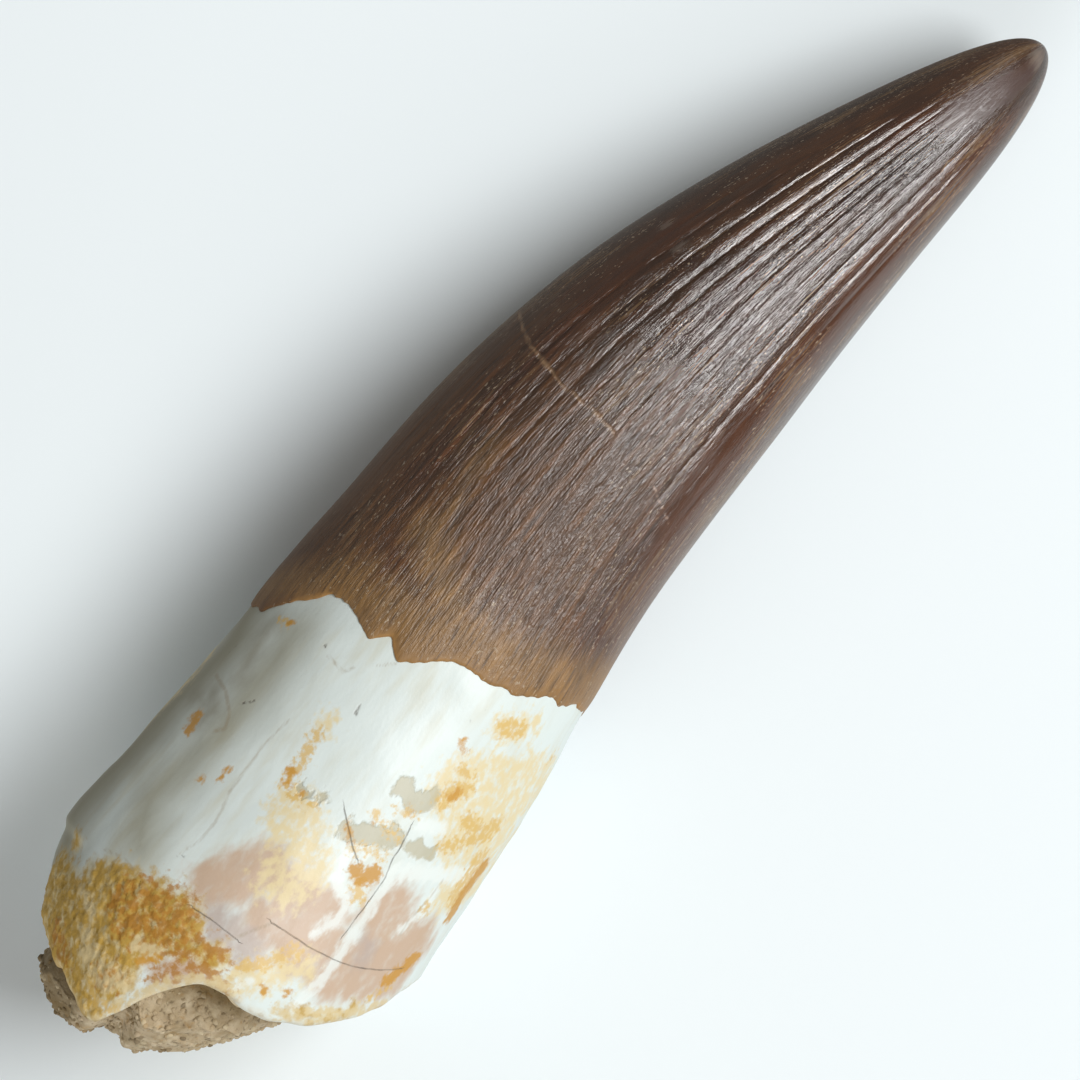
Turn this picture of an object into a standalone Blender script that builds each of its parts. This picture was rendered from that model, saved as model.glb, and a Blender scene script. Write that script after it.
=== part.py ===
"""Fossil tooth of a long-necked marine reptile, lying on its side.

The tooth grew as one piece: a curved, ribbed enamel crown on a pale root, whose broken end is hollow. A plug of sandy
matrix fills the hollow and stands out of the break. X runs from the root to the tip and Z is up. The crown bends
towards -Y, and the tooth rests on two small worn flats at Z = 0.
"""

import math

import bmesh
import bpy
from mathutils import Vector, noise

MM = 0.001

# A station is a distance along the tooth's axis, from the lowest point of the break to the tip, in millimetres.
TIP_STATION = 65.3
HALF_WIDTHS = (
    (-1.0, 5.2),
    (1.0, 6.6),
    (3.0, 7.85),
    (5.0, 8.75),
    (7.3, 9.2),
    (11.2, 8.82),
    (18.4, 8.38),
    (24.0, 7.88),
    (28.0, 7.42),
    (36.0, 6.83),
    (42.0, 6.2),
    (48.0, 5.25),
    (54.0, 4.15),
    (60.0, 2.85),
    (63.1, 1.85),
    (TIP_STATION, 0.0),
)
# Height over width of the cross-section. The waist near the neck lifts the middle clear of the ground.
OVALITY = ((0.0, 0.95), (9.0, 0.95), (22.0, 0.905), (34.0, 0.95), (44.0, 0.97), (TIP_STATION, 1.0))
# Heading of the axis seen from above, in degrees from +X.
HEADINGS = (
    (0.0, 5.0),
    (13.0, 5.0),
    (18.0, 7.4),
    (28.0, 7.3),
    (35.0, 1.3),
    (45.0, -4.7),
    (55.0, -8.8),
    (TIP_STATION, -8.0),
)

# Height of the axis over the ground. The tooth lies on one side, so its axis falls slightly towards the tip.
AXIS_HEIGHT_AT_ROOT = 8.95
AXIS_FALL_PER_MM = 0.0695
DROOP_FROM_STATION = 38.0
TIP_DROOP = 0.5

# Angles go round the axis from the top, positive towards -Y, in degrees.
BREAK_EDGE = (
    (-160.0, 2.6),
    (-135.0, 3.1),
    (-90.0, 2.05),
    (-60.0, 1.3),
    (-36.0, 0.55),
    (-20.0, 0.0),
    (-14.0, 0.9),
    (-1.0, 3.8),
    (11.0, 4.95),
    (35.0, 5.6),
    (64.0, 8.7),
    (92.0, 11.1),
    (136.0, 7.2),
    (158.0, 5.0),
    (180.0, 3.6),
)
NECK_LINE = (
    (-160.0, 21.8),
    (-130.0, 21.2),
    (-88.0, 20.3),
    (-66.0, 20.6),
    (-47.0, 22.4),
    (-36.0, 23.15),
    (-27.0, 22.9),
    (-19.0, 22.45),
    (-13.0, 22.95),
    (-5.5, 22.35),
    (6.0, 23.45),
    (21.0, 23.8),
    (39.0, 24.3),
    (50.0, 24.8),
    (88.0, 25.35),
    (104.0, 24.7),
    (118.0, 24.9),
    (150.0, 23.6),
    (180.0, 22.5),
)
# How far both lines stray, so that they run ragged, and how often, in degrees.
NECK_RAGGEDNESS = 0.3
BREAK_RAGGEDNESS = 0.35
RAGGED_EVERY = 9.0

# The hollow in the root: its radius at each station, closing as a dome.
HOLLOW_TOP = 13.5
HOLLOW_RADII = (
    (-1.0, 5.4),
    (0.0, 5.7),
    (1.0, 5.85),
    (3.0, 5.9),
    (5.0, 5.75),
    (7.0, 5.4),
    (9.0, 4.8),
    (11.0, 3.85),
    (12.5, 2.6),
    (HOLLOW_TOP, 0.0),
)
# How far the hollow's middle lies from the axis, towards +Y.
HOLLOW_SHIFT = 0.25
MOUTH_BEVEL = 0.3
PLUG_GAP = 0.3

# The enamel stands this far over the root, and wears thin over these stations and where the tip gets slender.
ENAMEL_STEP = 0.2
STEP_RUN = 0.25
ENAMEL_WEARS_FROM = 40.0
ENAMEL_WEARS_TO = 60.0
SLENDER_HALF_WIDTH = 2.0
RIB_COUNT = 28
RIB_HEIGHT = 0.17
RIB_ENVELOPE = ((24.0, 0.0), (30.0, 0.35), (42.0, 0.9), (52.0, 1.0), (58.0, 0.6), (61.5, 0.0))
# How far a rib strays from its even place, in degrees, over what length, and how often round the tooth.
RIB_WANDER = 5.0
RIB_WANDER_LENGTH = 25.0
RIB_WANDER_OFTEN = 1.6
# A rib's height changes along it, between these shares of the full height.
RIB_FADE_LENGTH = 16.0
RIB_FADE_OFTEN = 4.0
RIB_FADE_MEAN = 0.8
RIB_FADE_SPREAD = 1.1
RIB_FADE_LEAST = 0.15
RIB_FADE_MOST = 1.3
ROOT_LUMP_HEIGHT = 0.17
ROOT_LUMP_SIZE = 4.0
LEDGE_DEPTH = 0.25
LEDGE_STATION = 6.6
LEDGE_RUN = 0.6
LEDGE_ANGLE = -86.0
LEDGE_HALF_SPREAD = 34.0
LEDGE_SIDE_RUN = 10.0

# The plug's end: a dome whose lowest point lies off the axis, towards +Y, with a notch and sandy lumps.
PLUG_LOW_SIDE = -2.3
PLUG_SIDE_CURVE = 0.118
PLUG_HEIGHT_CURVE = 0.05
PLUG_LOWEST = -1.0
PLUG_LUMP_HEIGHT = 0.42
PLUG_LUMP_SIZE = 2.1
NOTCH_SIDE = -1.2
NOTCH_HALF_WIDTH = 0.7
NOTCH_DEPTH = 1.4
NOTCH_FADES_AT = (-3.0, 0.0)
# Lumps on the plug's side start this far outside the break, and an angle counts as this much length.
BARE_FROM = 0.2
BARE_TO = 1.2
DEGREES_PER_MM = 14.0

TOOTH_SEGMENTS = 112
PLUG_SEGMENTS = 44
ROOT_RINGS = 11
CROWN_RINGS = 21
HOLLOW_RINGS = 6
PLUG_SIDE_RINGS = 5
PLUG_END_RINGS = 6
# How strongly the rings bunch up towards the tip, and towards the plug's inner top.
TIP_BUNCHING = 1.6
PLUG_TOP_BUNCHING = 1.5
# The hollow's first ring place, just inside the break's edge.
MOUTH_PLACE = -0.05
# The turned blanks' radii, which only keep their rings apart until the rings are shaped.
BLANK_ROOT_RADIUS = 1.2
BLANK_TIP_RADIUS = 0.2
BLANK_HOLLOW_RADIUS = 1.0
POLE_RADIUS = 0.001
MERGE_DISTANCE = 0.00001
SHARP_EDGE_ANGLE = 40.0
RIM_ROUNDS = 5
AXIS_STEP = 0.25
AXIS_BELOW_BREAK = 2.0


def smooth(points, x):
    """The value at x of a smooth curve through the points, level beyond its ends."""
    if x <= points[0][0]:
        return points[0][1]
    if x >= points[-1][0]:
        return points[-1][1]
    last = len(points) - 1
    i = next(k for k in range(last) if x <= points[k + 1][0])
    (x0, y0), (x1, y1) = points[i], points[i + 1]

    def slope(k):
        (xa, ya), (xb, yb) = points[max(k - 1, 0)], points[min(k + 1, last)]
        return (yb - ya) / (xb - xa)

    span = x1 - x0
    u = (x - x0) / span
    start = (1 + 2 * u) * (1 - u) ** 2 * y0 + u * (1 - u) ** 2 * span * slope(i)
    end = u * u * (3 - 2 * u) * y1 + u * u * (u - 1) * span * slope(i + 1)
    return start + end


def around(points, angle):
    """The value at an angle of a smooth closed curve through the (angle, value) points."""
    before = [(a - 360.0, v) for a, v in points[-3:]]
    after = [(a + 360.0, v) for a, v in points[:3]]
    return smooth(before + list(points) + after, angle)


def root_of_smooth_squares(points, x):
    """A radius whose square runs smoothly through the points, so that it closes as a rounded dome."""
    return math.sqrt(max(smooth([(p, r * r) for p, r in points], x), 0.0))


def step_up(x, low, high):
    """0 below low and 1 above high, with a smooth rise between."""
    u = min(max((x - low) / (high - low), 0.0), 1.0)
    return u * u * (3 - 2 * u)


def wrapped(angle):
    """An angle in degrees brought between -180 and 180."""
    return (angle + 180.0) % 360.0 - 180.0


def walk_axis():
    """Points of the axis seen from above, AXIS_STEP apart, from below the break to the tip."""
    x, y, station = -AXIS_BELOW_BREAK, 0.0, -AXIS_BELOW_BREAK
    points = [(x, y)]
    while station < TIP_STATION:
        heading = math.radians(smooth(HEADINGS, station + AXIS_STEP / 2))
        x += AXIS_STEP * math.cos(heading)
        y += AXIS_STEP * math.sin(heading)
        station += AXIS_STEP
        points.append((x, y))
    return points


AXIS_POINTS = walk_axis()


def axis_at(station):
    """The axis point and the sideways direction there, towards -Y, in millimetres."""
    place = (station + AXIS_BELOW_BREAK) / AXIS_STEP
    i = min(max(int(place), 0), len(AXIS_POINTS) - 2)
    share = place - i
    (xa, ya), (xb, yb) = AXIS_POINTS[i], AXIS_POINTS[i + 1]
    height = AXIS_HEIGHT_AT_ROOT - AXIS_FALL_PER_MM * station
    past = max(station - DROOP_FROM_STATION, 0.0) / (TIP_STATION - DROOP_FROM_STATION)
    point = Vector((xa + share * (xb - xa), ya + share * (yb - ya), height - TIP_DROOP * past**2))
    heading = math.radians(smooth(HEADINGS, station))
    return point, Vector((math.sin(heading), -math.cos(heading), 0.0))


def on_section(station, angle, half_width, half_height):
    """The point of the section at a station, at an angle from the top, in millimetres."""
    centre, sideways = axis_at(station)
    turn = math.radians(angle)
    return centre + sideways * (half_width * math.sin(turn)) + Vector((0, 0, half_height * math.cos(turn)))


def ribs(station, angle):
    """Height of the crown's lengthwise ribs, which fade out at the neck and at the worn tip."""
    turn = math.radians(angle)
    ring = Vector((math.cos(turn), math.sin(turn), 0.0))
    stray_place = ring * RIB_WANDER_OFTEN + Vector((0.0, 0.0, station / RIB_WANDER_LENGTH))
    stray = RIB_WANDER * noise.noise(stray_place)
    fade_place = ring * RIB_FADE_OFTEN + Vector((0.0, 0.0, station / RIB_FADE_LENGTH))
    fade = RIB_FADE_MEAN + RIB_FADE_SPREAD * noise.noise(fade_place)
    height = RIB_HEIGHT * smooth(RIB_ENVELOPE, station) * min(max(fade, RIB_FADE_LEAST), RIB_FADE_MOST)
    return height * math.cos(RIB_COUNT * math.radians(angle + stray))


def root_relief(station, angle, point):
    """Lumps of the root's surface, and the ledge where a flake came away beside the break."""
    lumps = ROOT_LUMP_HEIGHT * noise.noise(point / ROOT_LUMP_SIZE)
    aside = abs(wrapped(angle - LEDGE_ANGLE))
    flaked = 1.0 - step_up(aside, LEDGE_HALF_SPREAD - LEDGE_SIDE_RUN, LEDGE_HALF_SPREAD)
    ledge = LEDGE_DEPTH * flaked * (1.0 - step_up(station, LEDGE_STATION - LEDGE_RUN, LEDGE_STATION))
    return lumps - ledge


def outer_point(station, angle, on_crown):
    """A point of the tooth's outside, with the enamel standing a step over the root."""
    half_width = root_of_smooth_squares(HALF_WIDTHS, station)
    shape = smooth(OVALITY, station)
    plain = on_section(station, angle, half_width, half_width * shape)
    if on_crown:
        enamel = ENAMEL_STEP * (1.0 - step_up(station, ENAMEL_WEARS_FROM, ENAMEL_WEARS_TO))
        relief = (enamel + ribs(station, angle)) * min(half_width / SLENDER_HALF_WIDTH, 1.0)
    else:
        relief = root_relief(station, angle, plain)
    return on_section(station, angle, half_width + relief, half_width * shape + relief)


def hollow_radius(station, clearance):
    """The hollow's radius at a station, or that of the plug in it, which is smaller by the clearance."""
    return max(root_of_smooth_squares(HOLLOW_RADII, station + clearance) - clearance, 0.0)


def on_hollow_section(station, angle, radius):
    """The point at an angle and a radius round the hollow's middle, in millimetres."""
    _, sideways = axis_at(station)
    return on_section(station, angle, radius, radius * smooth(OVALITY, station)) - sideways * HOLLOW_SHIFT


def tooth_rings():
    """(blank radius, ring place) of the turned blank, from the tip down the outside and up into the hollow.

    A ring's place is 0 at the break's edge, 1 at the neck line, 2 at the tip, and from 0 down to -1 in the hollow.
    """
    rings = [(0.0, 2.0)]
    for i in range(CROWN_RINGS - 1, 0, -1):
        left = 1.0 - i / CROWN_RINGS
        rings.append((BLANK_TIP_RADIUS + left, 2.0 - left**TIP_BUNCHING))
    rings.append((BLANK_ROOT_RADIUS, 1.0 + STEP_RUN / (TIP_STATION - NECK_LINE[0][1])))
    rings.append((BLANK_ROOT_RADIUS, 1.0))
    for i in range(ROOT_RINGS - 1, -1, -1):
        rings.append((BLANK_ROOT_RADIUS, i / ROOT_RINGS))
    for i in range(HOLLOW_RINGS):
        deep = i / HOLLOW_RINGS
        rings.append((BLANK_HOLLOW_RADIUS * (1.0 - deep), MOUTH_PLACE - (1.0 + MOUTH_PLACE) * deep))
    rings.append((0.0, -1.0))
    return rings


def ragged(points, amount, angle):
    """The station of the break's edge or of the neck line at an angle."""
    turn = math.radians(angle)
    ring = Vector((math.cos(turn), math.sin(turn), points[0][1]))
    return around(points, angle) + amount * noise.noise(ring * (180.0 / math.pi / RAGGED_EVERY))


def place_on_tooth(place, angle):
    """The tooth's point for a ring place and an angle, in millimetres."""
    edge = ragged(BREAK_EDGE, BREAK_RAGGEDNESS, angle)
    neck = ragged(NECK_LINE, NECK_RAGGEDNESS, angle)
    if place > 1.0:
        return outer_point(neck + (place - 1.0) * (TIP_STATION - neck), angle, True)
    if place >= 0.0:
        return outer_point(edge + place * (neck - edge), angle, False)
    deep = (MOUTH_PLACE - place) / (1.0 + MOUTH_PLACE)
    mouth = edge + MOUTH_BEVEL
    station = mouth + (HOLLOW_TOP - mouth) * math.sin(deep * math.pi / 2)
    return on_hollow_section(station, angle, hollow_radius(station, 0.0))


def plug_end_station(radius, angle):
    """Station of the plug's domed end at a place across it, with its notch and its sandy lumps."""
    side = radius * math.sin(math.radians(angle)) - HOLLOW_SHIFT
    height = radius * math.cos(math.radians(angle))
    dome = PLUG_LOWEST + PLUG_SIDE_CURVE * (side - PLUG_LOW_SIDE) ** 2 + PLUG_HEIGHT_CURVE * height**2
    across_notch = math.exp(-(((side - NOTCH_SIDE) / NOTCH_HALF_WIDTH) ** 2))
    notch = NOTCH_DEPTH * across_notch * step_up(height, *NOTCH_FADES_AT)
    lumps = PLUG_LUMP_HEIGHT * noise.noise(Vector((side, height, 7.0)) / PLUG_LUMP_SIZE)
    return dome + notch + lumps


def plug_rim_station(angle):
    """Station where the plug's side turns into its end."""
    station = 0.0
    for _ in range(RIM_ROUNDS):
        station = plug_end_station(hollow_radius(station, PLUG_GAP), angle)
    return station


def plug_rings():
    """(blank radius, ring place) of the plug's blank: 2 at its inner top, 1 where its end begins, 0 at its middle."""
    rings = [(0.0, 2.0)]
    for i in range(1, PLUG_SIDE_RINGS + 1):
        rings.append((i / PLUG_SIDE_RINGS, 2.0 - (i / PLUG_SIDE_RINGS) ** PLUG_TOP_BUNCHING))
    for i in range(1, PLUG_END_RINGS):
        rings.append((1.0 - i / PLUG_END_RINGS, 1.0 - i / PLUG_END_RINGS))
    rings.append((0.0, 0.0))
    return rings


def place_on_plug(place, angle):
    """The plug's point for a ring place and an angle, in millimetres."""
    rim = plug_rim_station(angle)
    if place < 1.0:
        radius = place * hollow_radius(rim, PLUG_GAP)
        return on_hollow_section(plug_end_station(radius, angle), angle, radius)
    station = rim + (place - 1.0) * (HOLLOW_TOP - PLUG_GAP - rim)
    bare = step_up(around(BREAK_EDGE, angle) - station, BARE_FROM, BARE_TO)
    lump_place = Vector((station, angle / DEGREES_PER_MM, 1.0)) / PLUG_LUMP_SIZE
    lump = PLUG_LUMP_HEIGHT * bare * noise.noise(lump_place)
    return on_hollow_section(station, angle, hollow_radius(station, PLUG_GAP) + lump)


def turned_blank(name, rings, segments):
    """A closed mesh turned from a profile with a Screw modifier. Its heights are ring places, still to be shaped."""
    profile = bpy.data.meshes.new(name + "_profile")
    edges = [(i, i + 1) for i in range(len(rings) - 1)]
    profile.from_pydata([(radius, 0.0, place) for radius, place in rings], edges, [])
    guide = bpy.data.objects.new(name + "_profile", profile)
    bpy.context.scene.collection.objects.link(guide)
    screw = guide.modifiers.new("turn", "SCREW")
    screw.steps = segments
    screw.render_steps = segments
    screw.use_merge_vertices = True
    screw.merge_threshold = MERGE_DISTANCE
    bpy.context.view_layer.update()
    mesh = bpy.data.meshes.new_from_object(guide.evaluated_get(bpy.context.evaluated_depsgraph_get()))
    mesh.name = name
    bpy.data.objects.remove(guide)
    bpy.data.meshes.remove(profile)
    return mesh


def shape_blank(mesh, place_of):
    """Moves each point of a turned blank to its real place in metres, and wears it flat at the ground."""
    work = bmesh.new()
    work.from_mesh(mesh)
    bmesh.ops.remove_doubles(work, verts=work.verts, dist=MERGE_DISTANCE)
    for vert in work.verts:
        at_pole = math.hypot(vert.co.x, vert.co.y) < POLE_RADIUS
        angle = 0.0 if at_pole else math.degrees(math.atan2(vert.co.y, vert.co.x))
        point = pole_of(vert.co.z, place_of) if at_pole else place_of(vert.co.z, angle)
        vert.co = Vector((point.x, point.y, max(point.z, 0.0))) * MM
    work.to_mesh(mesh)
    work.free()


def pole_of(place, place_of):
    """The mean of a closing ring, where the rings' points run together."""
    ends = [place_of(place, angle) for angle in (0.0, 90.0, 180.0, -90.0)]
    return sum(ends, Vector()) / len(ends)


def make_material(name, colour, roughness):
    """A plain non-metal finish."""
    material = bpy.data.materials.new(name)
    material.use_nodes = True
    shader = material.node_tree.nodes["Principled BSDF"]
    shader.inputs["Base Color"].default_value = (*colour, 1.0)
    shader.inputs["Roughness"].default_value = roughness
    shader.inputs["Metallic"].default_value = 0.0
    material.diffuse_color = (*colour, 1.0)
    return material


def finish_object(name, mesh, materials, collection):
    """Links a shaped mesh as a named piece with its finishes and smooth shading."""
    for material in materials:
        mesh.materials.append(material)
    mesh.shade_smooth()
    mesh.set_sharp_from_angle(angle=math.radians(SHARP_EDGE_ANGLE))
    piece = bpy.data.objects.new(name, mesh)
    collection.objects.link(piece)
    return piece


def paint_crown(mesh, crown_slot):
    """Gives the faces above the neck line the enamel's finish. It runs on the blank, whose heights are ring places."""
    for face in mesh.polygons:
        face.material_index = crown_slot if face.center.z > 1.0 else 0


def centre_on_origin(pieces):
    """Moves the pieces together so that the middle of their shared box stands over the origin."""
    points = [vert.co for piece in pieces for vert in piece.data.vertices]
    middle_x = (min(p.x for p in points) + max(p.x for p in points)) / 2
    middle_y = (min(p.y for p in points) + max(p.y for p in points)) / 2
    for piece in pieces:
        for vert in piece.data.vertices:
            vert.co -= Vector((middle_x, middle_y, 0.0))


def build():
    """Makes the tooth and its matrix plug."""
    for obj in list(bpy.data.objects):
        bpy.data.objects.remove(obj)
    collection = bpy.data.collections.new("fossil_tooth")
    bpy.context.scene.collection.children.link(collection)

    enamel = make_material("fossil_enamel", (0.085, 0.045, 0.026), 0.35)
    root = make_material("fossil_root", (0.72, 0.66, 0.54), 0.5)
    sandstone = make_material("sandy_matrix", (0.36, 0.3, 0.2), 0.9)

    tooth_mesh = turned_blank("tooth", tooth_rings(), TOOTH_SEGMENTS)
    paint_crown(tooth_mesh, 1)
    shape_blank(tooth_mesh, place_on_tooth)
    tooth = finish_object("tooth", tooth_mesh, (root, enamel), collection)

    plug_mesh = turned_blank("matrix_plug", plug_rings(), PLUG_SEGMENTS)
    shape_blank(plug_mesh, place_on_plug)
    plug = finish_object("matrix_plug", plug_mesh, (sandstone,), collection)

    centre_on_origin((tooth, plug))


build()
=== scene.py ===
"""Looks of a fossil marine reptile tooth: its ribbed crown, its stained root and the matrix in its break.

Lengths are in millimetres until a mesh is made. A station is a distance along the tooth's axis, from the
lowest point of the break to the tip. An angle goes round the axis from the top, in degrees, positive towards
-Y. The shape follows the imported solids' own values and formulas, with the finer relief laid over them.
"""

import logging
import math
from dataclasses import dataclass
from enum import Enum
from functools import cached_property
from typing import Sequence

import bpy
import numpy as np
from bpy.types import Material, Mesh, Node, NodeSocket, NodeTree, Object
from mathutils import Matrix, Vector, noise


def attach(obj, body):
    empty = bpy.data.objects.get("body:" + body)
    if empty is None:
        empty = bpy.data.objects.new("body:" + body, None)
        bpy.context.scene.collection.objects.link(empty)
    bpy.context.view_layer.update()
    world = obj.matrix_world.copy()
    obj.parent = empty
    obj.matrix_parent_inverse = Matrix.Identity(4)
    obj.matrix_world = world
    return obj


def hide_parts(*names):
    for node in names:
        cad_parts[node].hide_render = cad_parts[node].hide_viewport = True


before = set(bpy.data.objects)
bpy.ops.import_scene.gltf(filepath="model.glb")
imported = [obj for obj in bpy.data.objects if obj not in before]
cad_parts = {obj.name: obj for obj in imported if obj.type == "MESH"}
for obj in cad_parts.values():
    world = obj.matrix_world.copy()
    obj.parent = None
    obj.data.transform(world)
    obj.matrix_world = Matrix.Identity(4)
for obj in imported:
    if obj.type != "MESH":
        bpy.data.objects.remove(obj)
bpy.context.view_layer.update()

log = logging.getLogger("fossil_tooth")

MM = 0.001
BODY = "root"
UP = np.array((0.0, 0.0, 1.0))

Array = np.ndarray
Points = Sequence[tuple[float, float]]


def smooth(points: Points, x: Array) -> Array:
    """Reads a smooth curve through some points, level beyond its ends.

    Args:
        points: The curve's (x, value) points, in rising order of x.
        x: Where the curve is read.

    Returns:
        The curve's values at x.
    """
    px, py = np.array(points, float).T
    last = len(px) - 1
    before = np.maximum(np.arange(last + 1) - 1, 0)
    after = np.minimum(np.arange(last + 1) + 1, last)
    slopes = (py[after] - py[before]) / (px[after] - px[before])
    x = np.clip(x, px[0], px[-1])
    i = np.clip(np.searchsorted(px, x, side="left") - 1, 0, last - 1)
    span = px[i + 1] - px[i]
    u = (x - px[i]) / span
    start = (1 + 2 * u) * (1 - u) ** 2 * py[i] + u * (1 - u) ** 2 * span * slopes[i]
    end = u * u * (3 - 2 * u) * py[i + 1] + u * u * (u - 1) * span * slopes[i + 1]
    return start + end


def around(points: Points, angle: Array) -> Array:
    """Reads a smooth closed curve through (angle, value) points."""
    before = [(a - 360.0, v) for a, v in points[-3:]]
    after = [(a + 360.0, v) for a, v in points[:3]]
    return smooth(before + list(points) + after, wrapped(angle))


def root_of_smooth_squares(points: Points, x: Array) -> Array:
    """Reads a radius whose square runs smoothly through the points, so that it closes as a rounded dome."""
    return np.sqrt(np.maximum(smooth([(p, r * r) for p, r in points], x), 0.0))


def step_up(x: Array, low: float, high: float) -> Array:
    """0 below low and 1 above high, with a smooth rise between."""
    u = np.clip((x - low) / (high - low), 0.0, 1.0)
    return u * u * (3 - 2 * u)


def wrapped(angle: Array) -> Array:
    """Angles in degrees brought between -180 and 180."""
    return (angle + 180.0) % 360.0 - 180.0


def stacked(*columns: Array) -> Array:
    """Columns of equal shape, or single numbers, as the last axis of one array."""
    return np.stack(np.broadcast_arrays(*columns), axis=-1)


def lumps(places: Array) -> Array:
    """Smooth noise between about -1 and 1 at an array of three-dimensional places, one unit a lump."""
    flat = places.reshape(-1, 3).tolist()
    values = np.fromiter((noise.noise(Vector(p)) for p in flat), float, len(flat))
    return values.reshape(places.shape[:-1])


@dataclass(frozen=True)
class ToothForm:
    """The tooth's main shape, with the same values and formulas as its solids."""

    tip: float = 65.3
    half_widths: Points = (
        (-1, 5.2), (1, 6.6), (3, 7.85), (5, 8.75), (7.3, 9.2), (11.2, 8.82), (18.4, 8.38), (24, 7.88),
        (28, 7.42), (36, 6.83), (42, 6.2), (48, 5.25), (54, 4.15), (60, 2.85), (63.1, 1.85), (65.3, 0),
    )
    ovality: Points = ((0, 0.95), (9, 0.95), (22, 0.905), (34, 0.95), (44, 0.97), (65.3, 1))
    headings: Points = ((0, 5), (13, 5), (18, 7.4), (28, 7.3), (35, 1.3), (45, -4.7), (55, -8.8), (65.3, -8))
    axis_height: float = 8.95
    axis_fall: float = 0.0695
    droop_from: float = 38.0
    tip_droop: float = 0.5
    axis_step: float = 0.25
    axis_below_break: float = 2.0
    break_edge: Points = (
        (-160, 2.6), (-135, 3.1), (-90, 2.05), (-60, 1.3), (-36, 0.55), (-20, 0), (-14, 0.9), (-1, 3.8),
        (11, 4.95), (35, 5.6), (64, 8.7), (92, 11.1), (136, 7.2), (158, 5), (180, 3.6),
    )
    neck_line: Points = (
        (-160, 21.8), (-130, 21.2), (-88, 20.3), (-66, 20.6), (-47, 22.4), (-36, 23.15), (-27, 22.9),
        (-19, 22.45), (-13, 22.95), (-5.5, 22.35), (6, 23.45), (21, 23.8), (39, 24.3), (50, 24.8), (88, 25.35),
        (104, 24.7), (118, 24.9), (150, 23.6), (180, 22.5),
    )
    neck_raggedness: float = 0.3
    break_raggedness: float = 0.35
    ragged_every: float = 9.0
    enamel_step: float = 0.2
    enamel_wears_from: float = 40.0
    enamel_wears_to: float = 60.0
    slender_half_width: float = 2.0
    rib_height: float = 0.17
    rib_envelope: Points = ((24, 0), (30, 0.35), (42, 0.9), (52, 1), (58, 0.6), (61.5, 0))
    rib_wander: float = 5.0
    rib_wander_length: float = 25.0
    rib_wander_often: float = 1.6
    rib_fade_length: float = 16.0
    rib_fade_often: float = 4.0
    rib_fade_mean: float = 0.8
    rib_fade_spread: float = 1.1
    rib_fade_least: float = 0.15
    rib_fade_most: float = 1.3
    root_lump_height: float = 0.17
    root_lump_size: float = 4.0
    ledge_depth: float = 0.25
    ledge_station: float = 6.6
    ledge_run: float = 0.6
    ledge_angle: float = -86.0
    ledge_half_spread: float = 34.0
    ledge_side_run: float = 10.0
    hollow_top: float = 13.5
    hollow_radii: Points = (
        (-1, 5.4), (0, 5.7), (1, 5.85), (3, 5.9), (5, 5.75), (7, 5.4), (9, 4.8), (11, 3.85), (12.5, 2.6),
        (13.5, 0),
    )
    hollow_shift: float = 0.25
    mouth_bevel: float = 0.3
    # A fine line's pattern is laid out on a straight round rod of this radius, so that it has no seam.
    rod_radius: float = 7.0

    @cached_property
    def axis_walk(self) -> Array:
        """Rows of station, X and Y along the axis, before it is moved to the solids' place."""
        count = math.ceil((self.tip + self.axis_below_break) / self.axis_step)
        stations = -self.axis_below_break + self.axis_step * np.arange(count + 1)
        headings = np.radians(smooth(self.headings, stations[:-1] + self.axis_step / 2))
        x = -self.axis_below_break + np.append(0.0, np.cumsum(self.axis_step * np.cos(headings)))
        y = np.append(0.0, np.cumsum(self.axis_step * np.sin(headings)))
        return np.array((stations, x, y))

    def raw_axis(self, station: Array) -> Array:
        """Axis points before they are moved to the solids' place."""
        stations, x, y = self.axis_walk
        past = np.maximum(station - self.droop_from, 0.0) / (self.tip - self.droop_from)
        height = self.axis_height - self.axis_fall * station - self.tip_droop * past**2
        return stacked(np.interp(station, stations, x), np.interp(station, stations, y), height)

    @cached_property
    def place(self) -> Array:
        """How far the solids stand from the raw axis: their tip is the axis's end."""
        tip = max((v.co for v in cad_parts["tooth"].data.vertices), key=lambda co: co.x)
        shift = np.array(tip) / MM - self.raw_axis(np.array(self.tip))
        return shift * (1.0, 1.0, 0.0)

    def sideways(self, station: Array) -> Array:
        """Unit directions across the tooth, towards -Y."""
        heading = np.radians(smooth(self.headings, station))
        return stacked(np.sin(heading), -np.cos(heading), 0.0)

    def on_section(self, station: Array, angle: Array, half_width: Array, half_height: Array) -> Array:
        """Points of the sections at some stations.

        Args:
            station: Where the sections are.
            angle: The points' angles.
            half_width: The sections' half widths.
            half_height: The sections' half heights.

        Returns:
            The points, in the solids' place.
        """
        turn = np.radians(angle)
        across = (half_width * np.sin(turn))[..., None] * self.sideways(station)
        upwards = (half_height * np.cos(turn))[..., None] * UP
        return self.raw_axis(station) + self.place + across + upwards

    def half_width(self, station: Array) -> Array:
        """The root's and the crown's plain half width, under the enamel."""
        return root_of_smooth_squares(self.half_widths, station)

    def surface(self, station: Array, angle: Array, relief: Array) -> Array:
        """Points of the outside, standing out by the relief."""
        width = self.half_width(station)
        return self.on_section(station, angle, width + relief, width * smooth(self.ovality, station) + relief)

    def ring_place(self, angle: Array, often: float, along: Array) -> Array:
        """Places for noise that closes round the tooth and changes along it."""
        turn = np.radians(angle)
        return stacked(np.cos(turn) * often, np.sin(turn) * often, along)

    def rib_phase(self, station: Array, angle: Array, count: int) -> Array:
        """How far round the pattern of ribs a point is, in radians, a whole turn for each rib."""
        place = self.ring_place(angle, self.rib_wander_often, station / self.rib_wander_length)
        return count * np.radians(angle + self.rib_wander * lumps(place))

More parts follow.
